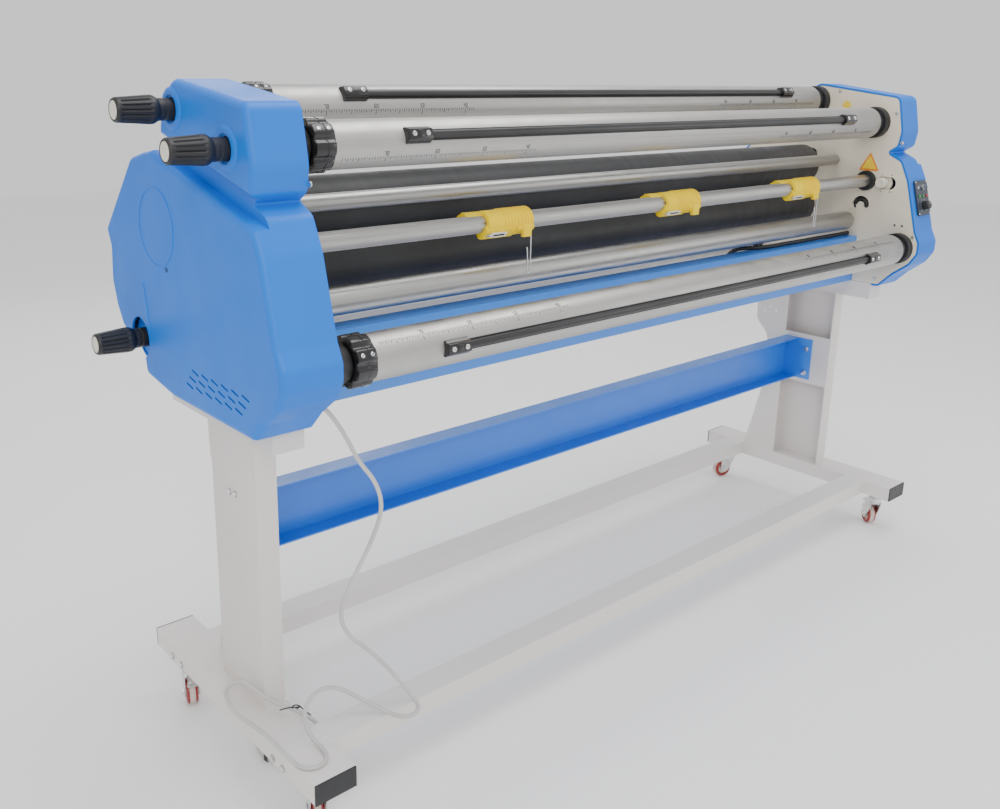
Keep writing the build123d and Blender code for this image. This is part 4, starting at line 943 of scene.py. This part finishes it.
def make_slitter(number, x):
    """A clip with a ribbed barrel, a blade horn above, a nose in front and a tail below."""
    bm = bmesh.new()
    bore = ROD_R + 0.1
    rows = [(x - 54, bore), (x - 54, 21.4), (x - 53.4, 22.4), (x - 52, 23), (x - 20, 23), (x - 19, 22.2),
            (x - 17, 22.2)]
    for k in range(9):
        rib = x - 14 + 8 * k
        rows += [(rib - 2.6, 22.2), (rib - 1.7, 24.2), (rib - 1.0, 24.4), (rib + 1.0, 24.4),
                 (rib + 1.7, 24.2), (rib + 2.6, 22.2)]
    rows += [(x + 52.6, 22.6), (x + 54, 21.6), (x + 54, bore)]
    lathe(bm, about_x(ROD_Y, ROD_Z), rows, 64)
    side_on = axes((0, ROD_Y, ROD_Z), Y, Z, X)
    horn = rounded([(-8, 14, 3), (10, 22, 6), (24, 14, 5), (26, 6, 2), (20, 4, 2), (8, 14, 4)], 5)
    prism(bm, horn, side_on, x - 88, x + 54, 1.4)
    nose = rounded([(-24, -8, 6), (-6, -27, 8), (6, -24, 4), (4, -12, 2), (-14, 0, 2)], 5)
    prism(bm, nose, side_on, x - 58, x + 14, 1.6)
    saddle = rounded([(-25.2, -9, 3), (-19, -17.5, 3), (-15, -15, 2), (-20, -6, 2)], 4)
    prism(bm, saddle, side_on, x + 14, x + 54, 0.8)
    block(bm, (x + 26, ROD_Y - 26, ROD_Z - 27), (x + 46, ROD_Y - 17, ROD_Z - 4), 1.6)
    for k in range(3):
        left = x - 84 + 9 * k
        block(bm, (left, ROD_Y + 9, ROD_Z + 17.6), (left + 3.5, ROD_Y + 17, ROD_Z + 20.6), 0.5)
    make_piece(f"slitter_{number}_body", bm, "yellow_plastic", f"slitter_{number}", (f"slitter_{number}",))
    make_slitter_trim(number, x)


def make_slitter_trim(number, x):
    """The pale strip with a dark bar painted as the shade in its slot, the nose screw and the blade."""
    strip, dark, metal = bmesh.new(), bmesh.new(), bmesh.new()
    out = Vector((0, -0.76, -0.65)).normalized()
    face = along(Vector((x - 26, ROD_Y - 15.6, ROD_Z - 18.4)), out, up=X)
    block(strip, (-4.6, -18, -1), (4.6, 18, 1.2), 0.5, face)
    # painted shade: a dark ink bar standing on the strip where its slot is, with no cut
    block(dark, (-1.6, -13, 0.9), (1.6, 13, 1.5), 0.2, face)
    screw(metal, along(Vector((x - 51, ROD_Y - 15.6, ROD_Z - 18.4)) + out * 0.6, out), 3.6, 1.6)
    block(metal, (x - 87, ROD_Y + 21, ROD_Z + 2.2), (x - 62, ROD_Y + 21.7, ROD_Z + 9), 0.15)
    make_piece(f"slitter_{number}_label", strip, "label_white", f"slitter_{number}")
    make_piece(f"slitter_{number}_painted_slot_shade", dark, "ink", f"slitter_{number}")
    make_piece(f"slitter_{number}_metal", metal, "zinc_steel", f"slitter_{number}")


def make_hairpin(number, x):
    """The bent wire pin in the slitter's tail."""
    bm = bmesh.new()
    bends = ((24, 0), (34, 0), (47, 0), (48, 3), (48, 30), (48, 65), (47.2, 71.6), (40.8, 71.6), (40, 65),
             (40.6, 46), (40, 30), (38.6, 24))
    route = [(x + across, EYE_Y, EYE_Z - drop) for across, drop in bends]
    sweep(bm, spline_line(route, 10), lambda s, a: 0.0014, 12)
    make_piece(f"hairpin_{number}_wire", bm, "zinc_steel", f"hairpin_{number}", (f"hairpin_{number}",))


# ---- casters
CASTERS = {                                 # side, front or rear, heading of the trail in degrees
    "front_near": (-1, -1, 65.0), "front_far": (1, -1, 50.0),
    "rear_near": (-1, 1, 250.0), "rear_far": (1, 1, 160.0),
}
CASTER_X, CASTER_Y, TRAIL, WHEEL_R = 900.9, 232.0, 24.0, 26.0


def caster_place(side, end, heading=0.0):
    return upright(side * CASTER_X, end * CASTER_Y, heading)


def axle_place(place):
    """A caster's axes turned so that Z lies along its axle."""
    return place @ Matrix.Translation((TRAIL, 0, WHEEL_R)) @ Matrix.Rotation(math.radians(90), 4, "X")


def make_fork(name, place):
    """A pressed fork: swivel cup, rolled bridge, two bowed arms, axle bolt and brake lever."""
    bm = bmesh.new()
    cup = [(71.9, 5.2), (71.9, 15), (72.6, 17), (76, 17), (77.4, 16.4), (79, 16.6), (84.4, 15.4),
           (85.9, 13.6), (85.9, 5.2)]
    lathe(bm, place, cup, 48)
    block(bm, (-14, -15.2, 68), (28, 15.2, 71.9), 1.6, place)
    arm = rounded([(-14, 71.5, 3), (28, 71.5, 5), (37, 36, 14), (35, 17, 8), (13, 17, 8), (-4, 48, 16)], 6)
    side_on = place @ Matrix((X, Z, -Y)).transposed().to_4x4()
    for low in (12.5, -15.0):
        prism(bm, arm, side_on, low, low + 2.5, 0.7)
    axle = axle_place(place)
    lathe(bm, axle, mirrored([(-18, 0), (-18, 3.2), (-17.4, 4)]), 28)
    for turn in (180, 0):
        hexagon(bm, axle @ Matrix.Rotation(math.radians(turn), 4, "X"), 6, 15, 17.6, 0.6)
    lever = place @ Matrix.Translation((TRAIL + 16, 0, WHEEL_R + 36))
    lever = lever @ Matrix.Rotation(math.radians(26), 4, "Y")
    tab = [(-19, -8, 1), (6, -8, 3), (14, -10, 2), (19, -9, 3), (19, 9, 3), (14, 10, 2), (6, 8, 3),
           (-19, 8, 1)]
    prism(bm, rounded(tab), lever, -1.5, 1.5, 0.7)
    for k in range(4):
        block(bm, (8 + 2.6 * k, -6, 1.2), (9.2 + 2.6 * k, 6, 1.9), 0.2, lever)
    make_piece(f"fork_{name}_pressed", bm, "zinc_steel", f"fork_{name}", (f"caster_fork_{name}",))


def make_wheel(name, place):
    """A dark red tyre with a pale band rubbed into its tread, on a lighter hub with spokes."""
    axle = axle_place(place)
    tyre, band, hub = bmesh.new(), bmesh.new(), bmesh.new()
    lathe(tyre, axle, mirrored([(-8, 16), (-8.4, 17.5), (-10, 18.4), (-11, 21), (-10.4, 23), (-8, 25.2),
                                (-5.4, 25.6)]), 64)
    lathe(band, axle, mirrored([(-5.6, 24), (-5.6, 25.5), (-4.6, 25.9), (-3, 26)]), 64)
    lathe(hub, axle, mirrored([(-11, 4.2), (-11, 8.2), (-10.4, 9), (-8.2, 9.2), (-7.4, 10),
                               (-7.2, 16.4)]), 48)
    for k in range(6):
        spoke = axle @ Matrix.Rotation(math.radians(60 * k), 4, "Z")
        block(hub, (9, -1.1, -8.6), (16.6, 1.1, 8.6), 0.4, spoke)
    make_piece(f"wheel_{name}_tyre", tyre, "wheel_red", f"wheel_{name}", (f"caster_wheel_{name}",))
    make_piece(f"wheel_{name}_band", band, "wheel_band", f"wheel_{name}")
    make_piece(f"wheel_{name}_hub", hub, "cream_plastic", f"wheel_{name}")


def make_stems():
    bm = bmesh.new()
    for side, end, _ in CASTERS.values():
        place = caster_place(side, end)
        lathe(bm, place, [(76, 0), (76, 4.5), (77, 5), (86, 5), (86, 13.8), (87, 15), (90.4, 15), (91, 14),
                          (91, 5), (111.4, 5), (112, 4.4), (112, 0)], 36)
        hexagon(bm, place, 11, 91.2, 99.9, 1.0)
    make_piece("caster_stem_set", bm, "zinc_steel", "frame", ("caster_stems",))


# ---- bolts and screws
FOOT_BOLTS = (217.5, 179.5, -159.0, -190.5)
COVER_SCREWS = (                            # y and z
    (-176, 1107), (-197, 1035), (-255, 806), (-172, 688), (70, 690), (270, 800), (170, 1036), (-20, 1160),
)
PEG_SCREWS = ((-160, 955), (-183, 955), (-160, 913), (-183, 913))


def make_bolts():
    bm = bmesh.new()
    for side in (-1, 1):
        for y in FOOT_BOLTS:
            hex_head(bm, facing(side, side * 939, y, 109), 6.4, 4.5)
        for y, z in ((-2, 510), (18, 508)):
            hex_head(bm, facing(side, side * 902, y, z), 5.4, 4.0)
        for z in (395, 462):
            hex_head(bm, facing(-side, side * 858.4, -6, z), 6.6, 5.0)
    make_piece("frame_bolt_set", bm, "zinc_steel", "frame", ("frame_bolts",))


def make_cover_screws():
    bm = bmesh.new()
    for side in (-1, 1):
        for spots, radius, height in ((COVER_SCREWS, 4.6, 2.6), (PEG_SCREWS, 2.4, 1.4)):
            for y, z in spots:
                screw(bm, facing(-side, side * PLATE_IN, y, z), radius, height)
    make_piece("cover_screw_set", bm, "zinc_steel", "frame", ("cover_screws",))


# ---- plates and covers
def plate_sign(name, y, z, points, material, raised=0.0):
    """A thin sticker on the far plate's inner face."""
    bm = bmesh.new()
    prism(bm, points, facing(-1, PLATE_IN - 0.05 - raised, y, z), 0, 0.35)
    make_piece(name, bm, material, "frame")


def make_signs():
    """Two plain stickers without words on the far plate: a triangle and a star."""
    triangle = rounded([(-27, -23, 3), (27, -23, 3), (0, 24, 3)], 5)
    plate_sign("sign_triangle", -121, 985, triangle, "sign_orange")
    inner = rounded([(-19, -18, 2), (19, -18, 2), (0, 15.5, 2)], 5)
    plate_sign("sign_triangle_inner", -121, 985, inner, "sign_yellow", 0.25)
    star = []
    for k in range(16):
        reach = 16 if k % 2 == 0 else 8.5
        star.append((reach * math.sin(math.tau * k / 16), reach * math.cos(math.tau * k / 16)))
    plate_sign("sign_star", -42, 1123, star, "sign_yellow")


def make_hooks():
    """The black wire hook in each plate's ring-shaped slot."""
    bm = bmesh.new()
    for side in (-1, 1):
        x = side * (PLATE_IN + 3)
        route = []
        for k in range(10):
            a = math.radians(200 - 26 * k)
            route.append((x, -110 + 15.5 * math.cos(a), 874 + 15.5 * math.sin(a)))
        sweep(bm, spline_line(route, 6), lambda s, a: 0.0042, 12)
    make_piece("plate_hooks", bm, "black_plastic", "frame")


def make_cover_details():
    """Rings round the near cover's knobs, its pressed circle, its ridge, and a black disc painted as the
    shade in a small hole.
    """
    bm = bmesh.new()
    for name in ("top_rear", "top_front"):
        y, z = SHAFTS[name][:2]
        rows = [(-950.5, 19.5), (-953.6, 20.2), (-955.2, 22), (-955.6, 24.6), (-955.0, 28), (-953.8, 31),
                (-952.4, 32.8), (-950.5, 33.6)]
        lathe(bm, about_x(y, z), rows, 72)
    rows = [(-961.6, 60.4), (-963.9, 61.4), (-964.3, 63), (-963.9, 64.6), (-961.6, 65.6)]
    lathe(bm, about_x(105, 948), rows, 96)
    ridge = [at(-962.4, 170 - 15 * t, 848 - 78 * t) for t in (0, 0.33, 0.66, 1)]
    sweep(bm, ridge, lambda s, a: 0.0022, 10)
    make_piece("near_cover_relief", bm, "blue_cover", "frame")
    # painted shade: a black disc on the cover's face stands in for the dark inside a small hole
    dark = bmesh.new()
    lathe(dark, about_x(74, 884), [(-961, 0), (-961, 4.4), (-963.3, 4.4), (-963.6, 3.8), (-963.6, 2.4),
                                   (-962.6, 2.2), (-962.6, 0)], 28)
    make_piece("near_cover_hole_shade", dark, "black_plastic", "frame")


# ---- controls
PANEL_AT = (915.0, -238.64, 899.70)
PANEL_OUT = (0.0, -0.9664, 0.2572)
PANEL_UP = (0.0, 0.2572, 0.9664)
PANEL_FACE = 5.0                            # from the panel's middle to its face
DIAL_UP, SWITCH_UP, LENS_UP = -20.0, 26.0, 4.0


def panel_place(x, up, out):
    """Millimetre axes on the panel: X along the machine, Y up the slope, Z out of it."""
    centre = Vector(PANEL_AT) + X * x + Vector(PANEL_UP) * up + Vector(PANEL_OUT) * out
    return axes(centre, X, Vector(PANEL_UP), Vector(PANEL_OUT))


def make_speed_knob():
    bm = bmesh.new()
    place = panel_place(0, DIAL_UP, PANEL_FACE)
    rows = ((2, 10.4, 0), (2.6, 11, 0.9), (12, 10.6, 0.9), (14.6, 10.2, 0.7), (15.8, 9.2, 0), (16, 8.4, 0))
    rings_closed(bm, [fluted_ring(place, *row, 12, 2) for row in rows])
    lathe(bm, place, [(-3, 0), (-3, 3), (2.4, 3), (2.4, 0)], 20)
    make_piece("speed_dial", bm, "black_plastic", "speed_knob", ("speed_knob",))
    mark = bmesh.new()
    block(mark, (-0.6, 2, 15.8), (0.6, 8.6, 16.3), 0.2, place)
    make_piece("speed_dial_mark", mark, "label_white", "speed_knob")


def make_switch():
    bm = bmesh.new()
    place = panel_place(0, SWITCH_UP, PANEL_FACE)
    lathe(bm, place, [(-3.2, 0), (-2.4, 2.2), (0, 3.4), (1.6, 2.4), (3, 1.9), (14, 2.6), (16.2, 2.9),
                      (17.4, 2.3), (17.8, 0)], 28)
    make_piece("switch_lever", bm, "zinc_steel", "direction_switch", ("direction_switch",))
    collar = bmesh.new()
    rows = [(4.9, 5.4), (4.9, 9.4), (6.6, 9.4), (6.6, 6.9), (11, 6.7), (11.2, 6.2), (11.2, 5.4)]
    lathe(collar, panel_place(0, SWITCH_UP, 0), rows, 6)
    make_piece("switch_bush", collar, "zinc_steel", "frame")


def make_panel_details():
    screws, white = bmesh.new(), bmesh.new()
    place = panel_place(0, DIAL_UP, PANEL_FACE)
    for k in range(11):
        a = math.radians(225 - 27 * k)
        turn = place @ Matrix.Rotation(a, 4, "Z")
        block(white, (14.4, -0.35, -0.1), (17.6 if k % 5 == 0 else 16.4, 0.35, 0.25), 0.1, turn)
    for x, y in ((-27, -40), (27, -40), (-27, 40), (27, 40)):
        screw(screws, panel_place(x, y, PANEL_FACE), 2.2, 1.1)
    for side in (-1, 1):
        arrow = [(side * 14, SWITCH_UP + 4), (side * 14, SWITCH_UP - 4), (side * 20, SWITCH_UP)]
        prism(white, arrow, panel_place(0, 0, PANEL_FACE), -0.1, 0.25)
    make_piece("panel_marks", white, "label_white", "frame")
    make_piece("panel_screws", screws, "zinc_steel", "frame")
    lenses = ((-18, "lens_green"), (0, "lens_green"), (18, "lens_red"))
    profile = [(0.4, 0), (0.4, 3.4), (2, 3.4), (3.4, 2.8), (4.1, 1.4), (4.3, 0)]
    for number, (x, material) in enumerate(lenses, start=1):
        bm = bmesh.new()
        lathe(bm, panel_place(x, LENS_UP, PANEL_FACE), profile, 24)
        make_piece(f"panel_lens_{number}", bm, material, "frame")


# ---- the wiring loom
def loom_route():
    points = [(863.0, -84.0, 797.5)]
    for k in range(1, 6):
        points.append((863.4 - 75 * k, -84 - 2 * (k % 2), 797.5))
    points += [(440, -78, 798.5), (405, -51, 796.5), (372, -46, 775.5), (335, -51, 756), (290, -62, 742.0)]
    x = 225.0
    while x > -743:
        points.append((x, -64 - 3 * (len(points) % 2), 742 - 2 * (len(points) % 3)))
        x -= 72
    points.append((-858.9, -64.0, 742.0))
    return points


WRAP_PITCH, WRAP_SHARE = 0.0105, 0.72       # metres between turns, and how much of that is wrap
LOOM_R, WRAP_R = 0.0042, 0.0050             # metres


def make_loom():
    """The harness in its spiral wrap, whose turns stand a little proud of each other."""
    line = spline_line(loom_route(), 60)
    bm = bmesh.new()

    def skin(s, a):
        phase = (s / WRAP_PITCH + a / math.tau) % 1.0
        return WRAP_R if phase < WRAP_SHARE else LOOM_R

    sweep(bm, line, skin, 16)
    make_piece("wiring_loom_wrap", bm, "wrap_black", "frame", ("wiring_loom",), angle=60)


# ---- the floor
def make_floor():
    bm = bmesh.new()
    block(bm, (-9000, -6000, -40), (9000, 9000, -0.2), 4.0)
    mesh = bpy.data.meshes.new("floor")
    bm.to_mesh(mesh)
    bm.free()
    mesh.materials.append(MATERIALS["floor"])
    floor = bpy.data.objects.new("floor", mesh)
    bpy.context.scene.collection.objects.link(floor)


# ---- the whole scene
def build():
    add_camera()
    make_cord()
    add_light()
    make_floor()
    finish_cad()
    for name, z in ROLLERS.items():
        make_roller_cover(name, z)
    for name, (y, z, strip, ruler) in SHAFTS.items():
        make_shaft(name, y, z)
        make_ruler(name, y, z, ruler)
        make_grip(name, y, z, strip)
        make_brackets(name, y, z, strip)
        make_bracket_screws(name, y, z, strip)
    make_bearings()
    for name in KNOBBED:
        make_knob(name, *SHAFTS[name][:2])
    for name, (y, z, r) in IDLERS.items():
        make_idler(name, y, z, r)
    make_cutter_rod()
    make_rod_ends()
    for number, x in enumerate(SLITTERS, start=1):
        make_slitter(number, x)
    for number in (1, 3):
        make_hairpin(number, SLITTERS[number - 1])
    for name, (side, end, heading) in CASTERS.items():
        place = caster_place(side, end, heading)
        make_fork(name, place)
        make_wheel(name, place)
    make_stems()
    make_bolts()
    make_cover_screws()
    make_signs()
    make_hooks()
    make_cover_details()
    make_speed_knob()
    make_switch()
    make_panel_details()
    make_loom()


build()
